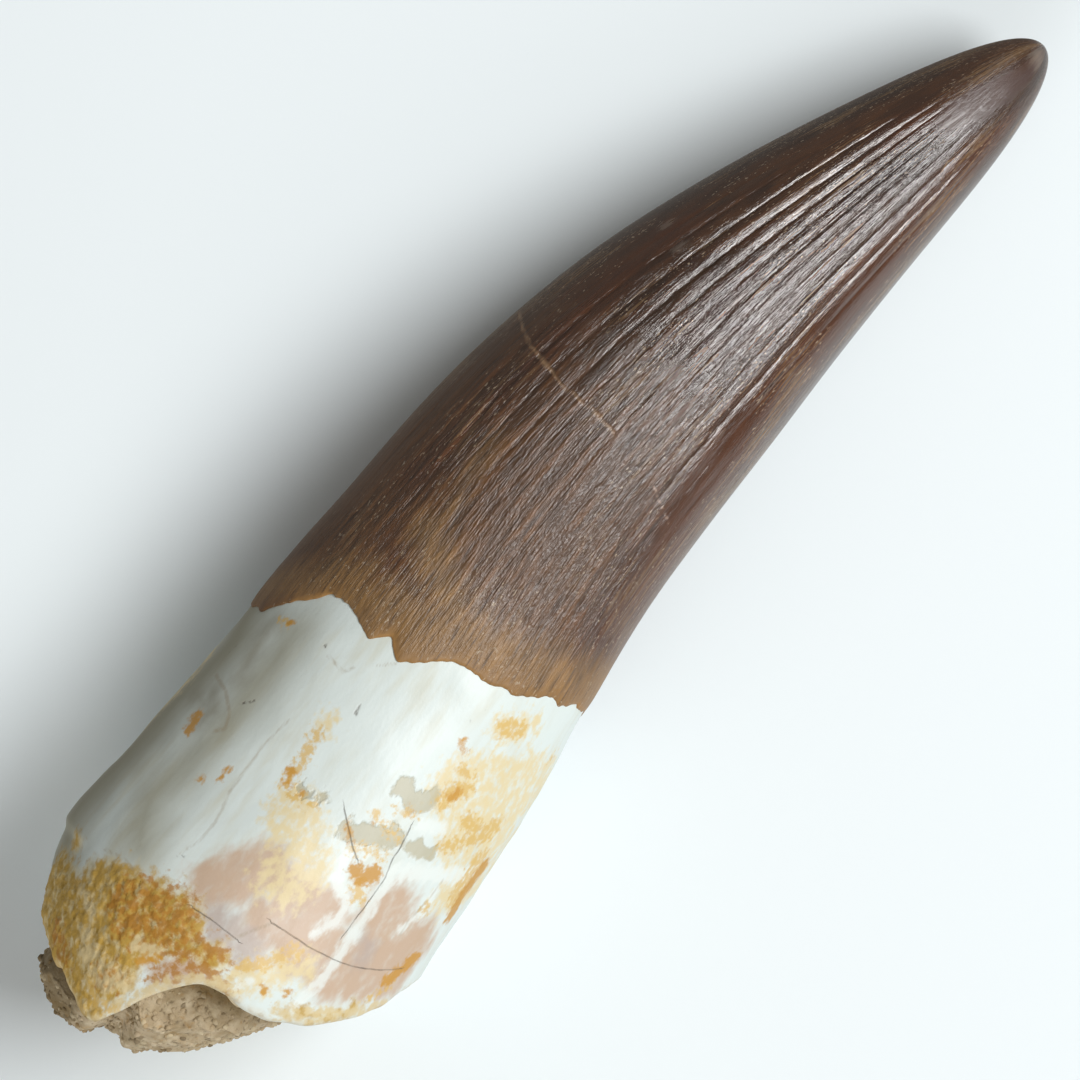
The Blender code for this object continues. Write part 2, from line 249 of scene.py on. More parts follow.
    def rib_strength(self, station: Array, angle: Array) -> Array:
        """Height of the ribs at a point, which fade out at the neck and at the worn tip."""
        place = self.ring_place(angle, self.rib_fade_often, station / self.rib_fade_length)
        fade = self.rib_fade_mean + self.rib_fade_spread * lumps(place)
        fade = np.clip(fade, self.rib_fade_least, self.rib_fade_most)
        return self.rib_height * smooth(self.rib_envelope, station) * fade

    def enamel_height(self, station: Array) -> Array:
        """How far the enamel stands over the root."""
        return self.enamel_step * (1.0 - step_up(station, self.enamel_wears_from, self.enamel_wears_to))

    def slenderness(self, station: Array) -> Array:
        """1 on the thick of the tooth, less where it gets slender at the tip."""
        return np.minimum(self.half_width(station) / self.slender_half_width, 1.0)

    def root_relief(self, station: Array, angle: Array) -> Array:
        """Lumps of the root's surface, and the ledge where a flake came away beside the break."""
        plain = self.surface(station, angle, 0.0 * station) - self.place
        lumpy = self.root_lump_height * lumps(plain / self.root_lump_size)
        aside = np.abs(wrapped(angle - self.ledge_angle))
        flaked = 1.0 - step_up(aside, self.ledge_half_spread - self.ledge_side_run, self.ledge_half_spread)
        below = 1.0 - step_up(station, self.ledge_station - self.ledge_run, self.ledge_station)
        return lumpy - self.ledge_depth * flaked * below

    def ragged(self, points: Points, amount: float, angle: Array) -> Array:
        """Stations of a ragged line round the tooth."""
        often = 180.0 / math.pi / self.ragged_every
        return around(points, angle) + amount * lumps(self.ring_place(angle, often, points[0][1] * often))

    def neck(self, angle: Array) -> Array:
        """Stations where the enamel ends."""
        return self.ragged(self.neck_line, self.neck_raggedness, angle)

    def edge(self, angle: Array) -> Array:
        """Stations of the break's outer edge."""
        return self.ragged(self.break_edge, self.break_raggedness, angle)

    def hollow_radius(self, station: Array) -> Array:
        """The hollow's radius, closing as a dome."""
        return root_of_smooth_squares(self.hollow_radii, station)

    def on_hollow(self, station: Array, angle: Array, radius: Array) -> Array:
        """Points at an angle and a radius round the hollow's middle."""
        points = self.on_section(station, angle, radius, radius * smooth(self.ovality, station))
        return points - self.sideways(station) * self.hollow_shift

    def rod(self, station: Array, angle: Array) -> Array:
        """The points' places on the straight rod that patterns are laid out on."""
        turn = np.radians(angle)
        return stacked(station, self.rod_radius * np.sin(turn), self.rod_radius * np.cos(turn))


class Tone(Enum):
    """What marks the surface. The value names the attribute that says how deep inside such marks a point is."""

    OCHRE = "ochre_stain"
    GOLD = "golden_stain"
    TAN = "pinkish_tan"
    MAUVE = "greyish_mauve"
    WHITE = "white_band"
    CREAM = "cream_speckle"
    GREY = "grey_stain"
    # Painted shade of the root's upper left side, partly its own greyer tone.
    SHADE = "grey_shade"
    CRUST = "mineral_crust"
    PALE = "pale_rim"
    FLAKE = "shallow_flake"
    SPOT = "dark_spot"
    LINE = "faint_line"
    RUSSET = "russet_enamel"
    GOLDEN = "golden_enamel"
    # Painted shade of the crown's upper left flank.
    DARK = "dark_enamel"
    WORN = "worn_enamel"
    DULL = "dark_tip"
    TIP = "russet_tip"


@dataclass(frozen=True)
class Mark:
    """Stains or painted shade of one tone: a half width in millimetres and a line of (station, angle) points
    for each.
    """

    tone: Tone
    strokes: Sequence[tuple[float, Points]]


@dataclass(frozen=True)
class Crack:
    """A hairline crack through (station, angle) points."""

    line: Points


# How much length one degree round the root or the lower crown is.
MM_PER_DEGREE = 0.15
# Fields are cut off this far outside and inside a mark.
FIELD_REACH = 2.5
# Beside the end of a line, the offset from it is at least this share of the distance.
END_SHARE = 0.5
# Grooves run where noise crosses its middle: how far noise is spread, how sharp they are and their mean level.
NOISE_SPREAD = 4.0
GROOVE_SHARPNESS = 0.6
GROOVE_MEAN = 0.6
# Noise is moved by its seed times these, and its octaves fade by this share.
SEED_STEPS = (1.0, 1.7, 2.3)
NOISE_ROUGHNESS = 0.55
LAYER_DETAIL = 3.0
# Where fine noise breaks a crack up, and where a crack's edges fade, in half widths.
GAP_EDGES = (0.4, 0.6)
CRACK_EDGES = (1.6, 0.4)
CRACK_SEED = 41.0
CRACK_DETAIL = 2.0
GAP_SEED = 43.0
# Wrinkles stray with slow noise of this scale, in lumps per millimetre. Their seed moves them by these steps.
DRIFT_SCALE = (0.16, 0.4, 0.4)
DRIFT_DETAIL = 2.0
WRINKLE_STEPS = (1.0, 3.0, 7.0)
WRINKLE_DETAIL = 1.5
# Takes the middle off a colour that noise gives, to make a direction of it.
MIDDLE = (-0.5, -0.5, -0.5)


def segment_offsets(station: Array, angle: Array, line: Points) -> tuple[Array, Array]:
    """Measures how far points lie from a line drawn on the tooth.

    Args:
        station: The points' stations.
        angle: The points' angles.
        line: The line's (station, angle) points, one or more.

    Returns:
        The distance to the line, and the offset from it with a sign for its side, both in millimetres.
    """
    across = wrapped(angle - line[0][1]) * MM_PER_DEGREE
    points = [(s, (a - line[0][1]) * MM_PER_DEGREE) for s, a in line]
    if len(points) == 1:
        distance = np.hypot(station - points[0][0], across)
        return distance, distance
    nearest = np.full(station.shape, 1e9)
    offset = np.zeros(station.shape)
    for (s0, a0), (s1, a1) in zip(points, points[1:]):
        length = math.hypot(s1 - s0, a1 - a0)
        ds, da = (s1 - s0) / length, (a1 - a0) / length
        along = np.clip((station - s0) * ds + (across - a0) * da, 0.0, length)
        distance = np.hypot(station - s0 - along * ds, across - a0 - along * da)
        side = (station - s0) * da - (across - a0) * ds
        closer = distance < nearest
        nearest = np.where(closer, distance, nearest)
        offset = np.where(closer, np.sign(side) * np.maximum(np.abs(side), distance * END_SHARE), offset)
    return nearest, offset


def mark_fields(station: Array, angle: Array, marks: Sequence[Mark]) -> dict[str, Array]:
    """How deep inside the marks of each tone the points are, in millimetres, negative outside them."""
    fields: dict[str, Array] = {}
    for mark in marks:
        name = mark.tone.value
        for half_width, line in mark.strokes:
            distance, _ = segment_offsets(station, angle, line)
            field = np.clip(half_width - distance, -FIELD_REACH, FIELD_REACH)
            fields[name] = np.maximum(fields[name], field) if name in fields else field
    return fields


def crack_fields(station: Array, angle: Array, cracks: Sequence[Crack]) -> dict[str, Array]:
    """The signed offset from the nearest crack, and its distance, in millimetres."""
    nearest = np.full(station.shape, FIELD_REACH)
    offset = np.full(station.shape, FIELD_REACH)
    for crack in cracks:
        distance, side = segment_offsets(station, angle, crack.line)
        closer = distance < nearest
        nearest = np.where(closer, distance, nearest)
        offset = np.where(closer, side, offset)
    return {"crack_offset": offset, "crack_distance": nearest}


def closed_mesh(name: str, rings: Array, first_pole: Array, last_pole: Array) -> Mesh:
    """Makes a closed mesh from rings of points and a pole at each end.

    Args:
        name: The mesh's name.
        rings: An array of rings, each a row of points, in millimetres.
        first_pole: The point that closes the first ring.
        last_pole: The point that closes the last ring.

    Returns:
        The mesh in metres, resting on the ground, with its faces outwards and smooth.
    """
    count, segments = rings.shape[:2]
    points = np.concatenate((rings.reshape(-1, 3), (first_pole, last_pole)))
    points[:, 2] = np.maximum(points[:, 2], 0.0)
    here = np.arange(segments)
    following = (here + 1) % segments
    starts = (np.arange(count - 1) * segments)[:, None]
    quads = np.stack(
        (starts + here, starts + segments + here, starts + segments + following, starts + following), axis=-1
    ).reshape(-1, 4)
    first, last = count * segments, count * segments + 1
    top = (count - 1) * segments
    fans = [(first, a, b) for a, b in zip(here.tolist(), following.tolist())]
    fans += [(last, top + b, top + a) for a, b in zip(here.tolist(), following.tolist())]
    a, b, c = points[quads[:, 0]], points[quads[:, 1]], points[quads[:, 2]]
    inside_out = np.einsum("ij,ij->", a, np.cross(b, c)) < 0.0
    faces = quads.tolist() + fans
    if inside_out:
        faces = [face[::-1] for face in faces]
    mesh = bpy.data.meshes.new(name)
    mesh.from_pydata((points * MM).tolist(), [], faces)
    mesh.shade_smooth()
    return mesh


def store(mesh: Mesh, name: str, rings: Array, pole_values: Sequence) -> None:
    """Stores a value or a vector for each point of a mesh made from rings and two poles.

    Args:
        mesh: The mesh.
        name: The attribute's name.
        rings: The values, in the rings' order.
        pole_values: The values at the first and at the last pole.
    """
    is_vector = rings.ndim == 3
    attribute = mesh.attributes.new(name, "FLOAT_VECTOR" if is_vector else "FLOAT", "POINT")
    width = 3 if is_vector else 1
    values = np.concatenate((rings.reshape(-1, width), np.array(pole_values, float).reshape(-1, width)))
    attribute.data.foreach_set("vector" if is_vector else "value", values.ravel().astype(np.float32))


def store_fields(mesh: Mesh, fields: dict[str, Array]) -> None:
    """Stores several fields, each with the mean of the nearest ring at its poles."""
    for name, rings in fields.items():
        store(mesh, name, rings, (rings[0].mean(axis=0), rings[-1].mean(axis=0)))


def linear(colour: str) -> tuple[float, float, float, float]:
    """Turns an sRGB hex colour to the linear values that shaders take."""
    shares = [int(colour[i : i + 2], 16) / 255.0 for i in (1, 3, 5)]
    return (*(s / 12.92 if s <= 0.04045 else ((s + 0.055) / 1.055) ** 2.4 for s in shares), 1.0)


def set_inputs(tree: NodeTree, node: Node, inputs: dict) -> None:
    """Gives inputs, named or numbered, their values or links. A list links several sockets to one input."""
    for key, value in inputs.items():
        sources = value if isinstance(value, list) else [value]
        if not isinstance(sources[0], NodeSocket):
            node.inputs[key].default_value = value
            continue
        for source in sources:
            tree.links.new(source, node.inputs[key])


def add_node(
    tree: NodeTree, kind: str, inputs: dict | None = None, output: int | str = 0, **settings
) -> NodeSocket:
    """Adds a node with its settings and links.

    Args:
        tree: The node tree.
        kind: The node's type.
        inputs: A value, or an output socket to link, for each input named or numbered.
        output: Which output to give back.
        **settings: The node's own properties.

    Returns:
        The output's socket.
    """
    node = tree.nodes.new(kind)
    for name, value in settings.items():
        setattr(node, name, value)
    set_inputs(tree, node, inputs or {})
    return node.outputs[output]


def grooved(tree: NodeTree, level: NodeSocket) -> NodeSocket:
    """Turns noise to rounded crests, with narrow grooves where it crosses its middle."""
    centred = add_node(
        tree, "ShaderNodeMath", {0: level, 1: NOISE_SPREAD, 2: -NOISE_SPREAD / 2}, operation="MULTIPLY_ADD"
    )
    size = add_node(tree, "ShaderNodeMath", {0: centred}, operation="ABSOLUTE")
    return add_node(tree, "ShaderNodeMath", {0: size, 1: GROOVE_SHARPNESS}, operation="POWER")


@dataclass(frozen=True)
class Layer:
    """A colour over what lies under it, where a field is above zero, with an edge that fine noise moves.

    The field is an attribute in millimetres, or one number where the noise alone draws the pattern.
    """

    colour: str
    field: Tone | str | float
    bite: float
    grain: tuple[float, float]
    edge: float = 0.15
    share: float = 1.0
    roughness: float | None = None
    height: float = 0.0
    seed: float = 0.0
    # The field is held to this at most, so that noise can bite through it anywhere.
    cap: float | None = None


@dataclass(frozen=True)
class Relief:
    """Fine relief: rounded grit, or crests with narrow grooves between, in millimetres."""

    height: float
    grain: tuple[float, float]
    ridged: bool = False
    share: str | None = None
    seed: float = 0.0
    detail: float = 2.0


@dataclass(frozen=True)
class MineralFinish:
    """A mineral surface in layers of colour, gloss and fine relief.

    Grains are (length along the tooth, width round it), in millimetres.
    """

    name: str
    colour: str
    roughness: float
    ior: float
    layers: tuple[Layer, ...]
    reliefs: tuple[Relief, ...]
    specular: float = 0.5
    crack_colour: str = "#3a332b"
    crack_half_width: float = 0.05
    crack_share: float = 0.7
    crack_wobble: float = 0.12
    crack_gaps: float = 0.0
    crack_depth: float = 0.04
    crack_grain: tuple[float, float] = (0.7, 0.7)
    crack_fades_at: tuple[float, float] = (0.45, 0.2)

    def pattern(self, tree: NodeTree, grain: tuple[float, float], seed: float, detail: float) -> NodeSocket:
        """Fine noise with a grain of its own, between 0 and 1."""
        place = add_node(tree, "ShaderNodeAttribute", attribute_name="rod", output="Vector")
        length, width = grain
        scale = (1.0 / length, 1.0 / width, 1.0 / width)
        shift = tuple(seed * step for step in SEED_STEPS)
        scaled = add_node(
            tree, "ShaderNodeVectorMath", {0: place, 1: scale, 2: shift}, operation="MULTIPLY_ADD"
        )
        noise_inputs = {"Vector": scaled, "Scale": 1.0, "Detail": detail, "Roughness": NOISE_ROUGHNESS}
        return add_node(tree, "ShaderNodeTexNoise", noise_inputs)

    def mask(self, tree: NodeTree, layer: Layer) -> NodeSocket:
        """Where a layer shows, between 0 and its share."""
        fine = self.pattern(tree, layer.grain, layer.seed, LAYER_DETAIL)
        field = layer.field
        if isinstance(field, Tone):
            field = field.value
        if isinstance(field, str):
            field = add_node(tree, "ShaderNodeAttribute", attribute_name=field, output="Fac")
        if layer.cap is not None:
            field = add_node(tree, "ShaderNodeMath", {0: field, 1: layer.cap}, operation="MINIMUM")
        centred = add_node(
            tree, "ShaderNodeMath", {0: fine, 1: 2.0 * layer.bite, 2: -layer.bite}, operation="MULTIPLY_ADD"
        )
        moved = add_node(tree, "ShaderNodeMath", {0: centred, 1: field}, operation="ADD")
        return add_node(
            tree,
            "ShaderNodeMapRange",
            {"Value": moved, "From Min": -layer.edge, "From Max": layer.edge, "To Max": layer.share},
            interpolation_type="SMOOTHSTEP",
        )

    def raised(self, tree: NodeTree, relief: Relief, under: object) -> NodeSocket:
        """The height with one relief added to what is under it."""
        level = self.pattern(tree, relief.grain, relief.seed, relief.detail)
        if relief.ridged:
            level = grooved(tree, level)
        height: object = relief.height
        if relief.share:
            share = add_node(tree, "ShaderNodeAttribute", attribute_name=relief.share, output="Fac")
            height = add_node(tree, "ShaderNodeMath", {0: share, 1: relief.height}, operation="MULTIPLY")
        return add_node(tree, "ShaderNodeMath", {0: level, 1: height, 2: under}, operation="MULTIPLY_ADD")

    def crack_mask(self, tree: NodeTree) -> NodeSocket:
        """Where a hairline crack shows, between 0 and its share."""
        offset = add_node(tree, "ShaderNodeAttribute", attribute_name="crack_offset", output="Fac")
        distance = add_node(tree, "ShaderNodeAttribute", attribute_name="crack_distance", output="Fac")
        stray = self.pattern(tree, self.crack_grain, CRACK_SEED, CRACK_DETAIL)
        stray = add_node(
            tree,
            "ShaderNodeMath",
            {0: stray, 1: self.crack_wobble, 2: -0.5 * self.crack_wobble},
            operation="MULTIPLY_ADD",
        )
        offset = add_node(tree, "ShaderNodeMath", {0: offset, 1: stray}, operation="ADD")
        size = add_node(tree, "ShaderNodeMath", {0: offset}, operation="ABSOLUTE")
        outer, inner = (self.crack_half_width * share for share in CRACK_EDGES)
        line = add_node(tree, "ShaderNodeMapRange", {"Value": size, "From Min": outer, "From Max": inner})
        low, high = self.crack_fades_at
        reach = {"Value": distance, "From Min": low, "From Max": high, "To Max": self.crack_share}
        near = add_node(tree, "ShaderNodeMapRange", reach)
        line = add_node(tree, "ShaderNodeMath", {0: line, 1: near}, operation="MULTIPLY")
        if not self.crack_gaps:
            return line
        gaps = self.pattern(tree, self.crack_grain, GAP_SEED, LAYER_DETAIL)
        low, high = GAP_EDGES
        broken = {"Value": gaps, "From Min": low, "From Max": high, "To Min": 1.0 - self.crack_gaps}
        whole = add_node(tree, "ShaderNodeMapRange", broken)
        return add_node(tree, "ShaderNodeMath", {0: line, 1: whole}, operation="MULTIPLY")

    def material(self) -> Material:
        """Builds the material."""
        material = bpy.data.materials.new(self.name)
        material.use_nodes = True
        tree = material.node_tree
        shader = tree.nodes["Principled BSDF"]
        colour: object = linear(self.colour)
        roughness: object = self.roughness
        height: object = 0.0
        for relief in self.reliefs:
            height = self.raised(tree, relief, height)
        for layer in self.layers:
            mask = self.mask(tree, layer)
            colour = add_node(
                tree, "ShaderNodeMix", {0: mask, 6: colour, 7: linear(layer.colour)}, data_type="RGBA", output=2
            )
            if layer.roughness is not None:
                roughness = add_node(tree, "ShaderNodeMix", {0: mask, 2: roughness, 3: layer.roughness})
            if layer.height:
                height = add_node(
                    tree, "ShaderNodeMath", {0: mask, 1: layer.height, 2: height}, operation="MULTIPLY_ADD"
                )
        if self.crack_share:
            crack = self.crack_mask(tree)
            colour = add_node(
                tree,
                "ShaderNodeMix",
                {0: crack, 6: colour, 7: linear(self.crack_colour)},
                data_type="RGBA",
                output=2,
            )
            height = add_node(
                tree, "ShaderNodeMath", {0: crack, 1: -self.crack_depth, 2: height}, operation="MULTIPLY_ADD"
            )
        bump = add_node(tree, "ShaderNodeBump", {"Height": height, "Distance": MM, "Strength": 1.0})
        set_inputs(tree, shader, {
            "Base Color": colour,
            "Roughness": roughness,
            "Metallic": 0.0,
            "IOR": self.ior,
            "Specular IOR Level": self.specular,
            "Normal": bump,
        })
        return material


# Fossil enamel, a dense natural glaze: glossy, dark brown, streaked lengthwise in russet and gold.
ENAMEL = MineralFinish(
    name="fossil_enamel_glossy_brown",
    colour="#55341c",
    roughness=0.24,
    ior=1.6,
    specular=0.85,
    reliefs=(
        Relief(0.036, (1.9, 0.17), ridged=True, share="wrinkle_share", seed=3.1),
        Relief(0.055, (0.2, 0.1), share="sparkle_share", seed=5.3, detail=3.0),
        Relief(0.01, (0.5, 0.14), seed=7.7),
    ),
    crack_colour="#957656",
    crack_half_width=0.09,
    crack_share=0.7,
    crack_wobble=0.4,
    crack_gaps=0.7,
    layers=(
        Layer("#2d1b12", -0.1, 0.9, (9.0, 1.6), edge=0.35, share=0.55, seed=1.0),
        Layer("#2a180f", -0.08, 1.0, (1.8, 0.7), edge=0.2, share=0.5, seed=11.0),
        Layer("#84582a", "neck_warmth", 1.2, (2.0, 0.3), edge=1.8, share=0.65, roughness=0.5, seed=12.0),
        Layer("#5c3014", Tone.RUSSET, 0.9, (7.0, 0.9), edge=1.8, share=0.8, seed=2.0),
        Layer("#a47a40", Tone.GOLDEN, 0.8, (2.0, 0.4), edge=1.2, share=0.92, roughness=0.55, seed=3.0),
        # Painted shade: darkens the upper left flank of the upper crown.
        Layer("#2c1e17", Tone.DARK, 0.7, (4.0, 0.9), edge=1.6, share=0.8, seed=9.0),
        Layer("#97764e", "scuffs", 1.0, (2.6, 0.16), edge=0.12, share=0.55, seed=4.0),
        Layer("#251813", -0.26, 1.0, (1.6, 0.16), edge=0.2, share=0.6, seed=5.0),
        # Painted shade in the wrinkles' grooves, darker where they are deeper.
        Layer("#20150f", "groove", 0.01, (1.2, 0.3), edge=0.03, share=0.6, seed=6.0),
        Layer("#b5a48c", "scuffs", 1.0, (0.25, 0.12), edge=0.06, share=0.6, seed=13.0, cap=-0.3),
        Layer("#26150c", Tone.DULL, 0.6, (2.6, 0.4), edge=1.2, share=0.65, seed=14.0),
        Layer("#3c1c0c", Tone.TIP, 0.8, (1.6, 0.3), edge=1.4, share=0.9, roughness=0.32, seed=15.0),
        Layer("#9a8d7e", Tone.WORN, 0.6, (0.5, 0.25), edge=0.5, share=0.4, roughness=0.6, seed=7.0),
        Layer("#9a8070", Tone.LINE, 0.06, (0.4, 0.2), edge=0.05, share=0.75, seed=10.0),
        Layer("#9a7038", "neck_rim", 0.2, (0.35, 0.2), edge=0.1, share=0.7, roughness=0.6, seed=8.0),
    ),
)

# Fossil dentine, a fine-grained mineral like porcelain stone: satin, off-white, stained by iron.
DENTINE = MineralFinish(
    name="fossil_dentine_satin_offwhite",
    colour="#d4dedb",
    roughness=0.42,
    ior=1.5,
    reliefs=(
        Relief(0.012, (0.35, 0.2), seed=3.1, detail=4.0),
        Relief(0.02, (3.0, 0.6), seed=6.4),
        Relief(0.09, (0.4, 0.3), share="crustiness", seed=8.2, detail=3.0),
    ),
    crack_colour="#5a5248",
    crack_half_width=0.03,
    crack_share=0.65,
    crack_gaps=0.4,
    layers=(
        Layer("#c3bfa6", -0.25, 1.0, (4.0, 0.7), edge=0.4, share=0.5, seed=11.0),
        # Painted shade: a soft grey that darkens the root's upper left side, partly its own greyer tone.
        Layer("#8a8469", Tone.SHADE, 0.8, (5.0, 1.4), edge=2.2, share=0.85, seed=12.0),
        Layer("#8b8570", Tone.GREY, 0.6, (1.2, 0.6), edge=0.8, share=0.65, seed=13.0),
        Layer("#bd9e82", Tone.TAN, 1.0, (1.2, 0.5), edge=0.6, share=0.85, seed=14.0, cap=0.5),
        Layer("#b3a49a", Tone.MAUVE, 0.8, (0.9, 0.5), edge=0.5, share=0.85, seed=24.0, cap=0.4),
        Layer("#d9c99c", Tone.CREAM, 1.5, (0.5, 0.3), edge=0.55, share=0.9, seed=15.0, cap=0.25),
        Layer("#dfe6e2", Tone.WHITE, 0.5, (0.7, 0.3), edge=0.2, share=0.75, seed=16.0),
        Layer("#aea78a", Tone.FLAKE, 0.8, (0.9, 0.5), edge=0.14, share=0.75, height=-0.05, seed=17.0),
        Layer("#cdbb88", Tone.CRUST, 0.8, (1.0, 0.6), edge=0.5, share=0.9, seed=26.0),
        Layer("#b38f38", Tone.CRUST, 1.6, (0.5, 0.4), edge=0.5, share=0.92, roughness=0.7, seed=19.0, cap=0.3),
        Layer(
            "#a87428", "crust_heart", 1.6, (0.35, 0.3), edge=0.35, share=0.85, roughness=0.75, seed=20.0,
            cap=0.15,
        ),
        Layer("#cfbd90", Tone.PALE, 0.9, (0.4, 0.3), edge=0.25, share=0.85, seed=23.0, cap=0.15),
        Layer("#cfac5e", Tone.GOLD, 0.9, (0.3, 0.22), edge=0.25, share=0.8, seed=25.0, cap=0.2),
        Layer(
            "#bf8c30", Tone.OCHRE, 0.5, (0.35, 0.25), edge=0.16, share=0.9, roughness=0.6, seed=18.0, cap=0.3
        ),
        Layer("#cbb891", "broken_face", 0.7, (0.9, 0.7), edge=0.6, share=0.85, roughness=0.6, seed=27.0),
        Layer("#a98f5e", "broken_face", 1.0, (0.5, 0.5), edge=0.3, share=0.5, seed=28.0, cap=-0.2),
        Layer("#9a8a70", Tone.LINE, 0.1, (0.5, 0.2), edge=0.08, share=0.45, seed=21.0),
        Layer("#5b544a", Tone.SPOT, 0.1, (0.4, 0.2), edge=0.06, share=0.75, height=-0.03, seed=22.0),
    ),
)

# Poorly cemented sandstone: matt, grey-tan, with dark and ochre grains of 0.1 to 0.4 mm.
SANDSTONE = MineralFinish(
    name="sandstone_matrix_rough",
    colour="#b3a286",
    roughness=0.92,
    ior=1.5,
    crack_share=0.0,
    reliefs=(Relief(0.08, (0.2, 0.2), seed=3.1, detail=4.0),),
    layers=(
        Layer("#c6b89c", -0.1, 1.0, (0.6, 0.6), edge=0.3, share=0.8, seed=31.0),
        Layer("#8a7550", -0.1, 1.0, (1.2, 1.2), edge=0.4, share=0.7, seed=34.0),
        Layer("#5e5138", -0.28, 1.0, (0.28, 0.28), edge=0.2, share=0.8, seed=32.0),
        Layer("#a07a3c", -0.32, 1.0, (0.6, 0.6), edge=0.2, share=0.7, seed=33.0),
        Layer("#6e5c3c", "left_stain", 1.0, (0.8, 0.8), edge=0.8, share=0.7, seed=37.0),
        Layer("#6a5c44", "dark_grain", 0.05, (0.3, 0.3), edge=0.1, share=0.7, seed=35.0),
        Layer("#c9bb9c", "pale_grain", 0.05, (0.3, 0.3), edge=0.1, share=0.6, seed=36.0),
    ),
)


def sealed(obj: Object, node: str) -> Object:
    """Ties a finished piece to the body, hides the node that it replaces and notes its triangles and material.
    """
    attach(obj, BODY)
    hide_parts(node)
    triangles = sum(len(face.vertices) - 2 for face in obj.data.polygons)
    log.info("%s: %d triangles, %s", obj.name, triangles, obj.data.materials[0].name)
    return obj


def evaluated_piece(name: str, base: Mesh, tree: NodeTree, values: dict[str, object]) -> Object:
    """Runs a tree of geometry nodes on a mesh and keeps the result as a plain mesh.

    Args:
        name: The piece's name.
        base: The mesh that the tree starts from.
        tree: The tree.
        values: The tree's inputs by name.

    Returns:
        The piece, with no modifier, at the origin.
    """
    guide = bpy.data.objects.new(name + "_guide", base)
    bpy.context.scene.collection.objects.link(guide)
    modifier = guide.modifiers.new("nodes", "NODES")
    modifier.node_group = tree
    for item in tree.interface.items_tree:
        if item.in_out == "INPUT" and item.name in values:
            modifier[item.identifier] = values[item.name]
    bpy.context.view_layer.update()
    graph = bpy.context.evaluated_depsgraph_get()
    mesh = bpy.data.meshes.new_from_object(guide.evaluated_get(graph))
    bpy.data.objects.remove(guide)
    bpy.data.meshes.remove(base)
    heights = np.zeros(len(mesh.vertices) * 3, np.float32)
    mesh.vertices.foreach_get("co", heights)
    heights[2::3] = np.maximum(heights[2::3], 0.0)
    mesh.vertices.foreach_set("co", heights)
    mesh.name = name
    mesh.materials.clear()
    mesh.materials.append(values["Material"])
    mesh.polygons.foreach_set("material_index", np.zeros(len(mesh.polygons), np.int32))
    mesh.shade_smooth()
    piece = bpy.data.objects.new(name, mesh)
    bpy.context.scene.collection.objects.link(piece)
    return piece


def new_tree(name: str, values: dict[str, object]) -> tuple[NodeTree, dict, Node]:
    """Starts a tree of geometry nodes with named inputs.

    Args:
        name: The tree's name.
        values: What each named input will be set to, a material or a number, which gives the socket its type.

    Returns:
        The tree, its input sockets by name, and its output node.
    """
    tree = bpy.data.node_groups.new(name, "GeometryNodeTree")
    tree.interface.new_socket(name="Geometry", in_out="INPUT", socket_type="NodeSocketGeometry")
    for label, value in values.items():
        kind = {float: "Float", int: "Int"}.get(type(value), "Material")
        tree.interface.new_socket(name=label, in_out="INPUT", socket_type="NodeSocket" + kind)
    tree.interface.new_socket(name="Geometry", in_out="OUTPUT", socket_type="NodeSocketGeometry")
    start = tree.nodes.new("NodeGroupInput")
    end = tree.nodes.new("NodeGroupOutput")
    return tree, {socket.name: socket for socket in start.outputs}, end


def finish_tree(tree: NodeTree, geometry: object, material: object, end: Node) -> None:
    """Ends a tree by realizing its instances and setting its material."""
    real = add_node(tree, "GeometryNodeRealizeInstances", {0: geometry})
    dressed = add_node(tree, "GeometryNodeSetMaterial", {"Geometry": real, "Material": material})
    tree.links.new(dressed, end.inputs[0])


def wrinkled_relief(tree: NodeTree, length: object, pitch: object, wander: object, seed: float) -> NodeSocket:
    """Rounded wrinkles with narrow grooves between, laid out on the rod.

    Args:
        tree: The geometry nodes tree.
        length: How long a wrinkle runs, as a socket or a number.
        pitch: The spacing of the wrinkles.
        wander: How far the wrinkles stray sideways.
        seed: Moves the pattern.

    Returns:
        A socket that is 0 in the grooves and about 1 on the crests.
    """
    place = field_value(tree, "rod", "FLOAT_VECTOR")
    slow = add_node(
        tree,
        "ShaderNodeVectorMath",
        {0: place, 1: DRIFT_SCALE, 2: (seed, seed, seed)},
        operation="MULTIPLY_ADD",
    )
    drift = add_node(
        tree, "ShaderNodeTexNoise", {"Vector": slow, "Scale": 1.0, "Detail": DRIFT_DETAIL}, output="Color"
    )
    drift = add_node(tree, "ShaderNodeVectorMath", {0: drift, 1: MIDDLE}, operation="ADD")
    drift = add_node(tree, "ShaderNodeVectorMath", {0: drift, "Scale": wander}, operation="SCALE")
    strayed = add_node(tree, "ShaderNodeVectorMath", {0: place, 1: drift}, operation="ADD")
    size = add_node(tree, "ShaderNodeCombineXYZ", {0: length, 1: pitch, 2: pitch})
    scaled = add_node(tree, "ShaderNodeVectorMath", {0: strayed, 1: size}, operation="DIVIDE")
    shift = tuple(seed * step for step in WRINKLE_STEPS)
    shifted = add_node(tree, "ShaderNodeVectorMath", {0: scaled, 1: shift}, operation="ADD")
    fineness = {"Vector": shifted, "Scale": 1.0, "Detail": WRINKLE_DETAIL, "Roughness": 0.5}
    return grooved(tree, add_node(tree, "ShaderNodeTexNoise", fineness))


def field_value(tree: NodeTree, name: str, kind: str = "FLOAT") -> NodeSocket:
    """Reads a mesh attribute in a tree of geometry nodes."""
    inputs = {"Name": name}
    return add_node(tree, "GeometryNodeInputNamedAttribute", inputs, output="Attribute", data_type=kind)


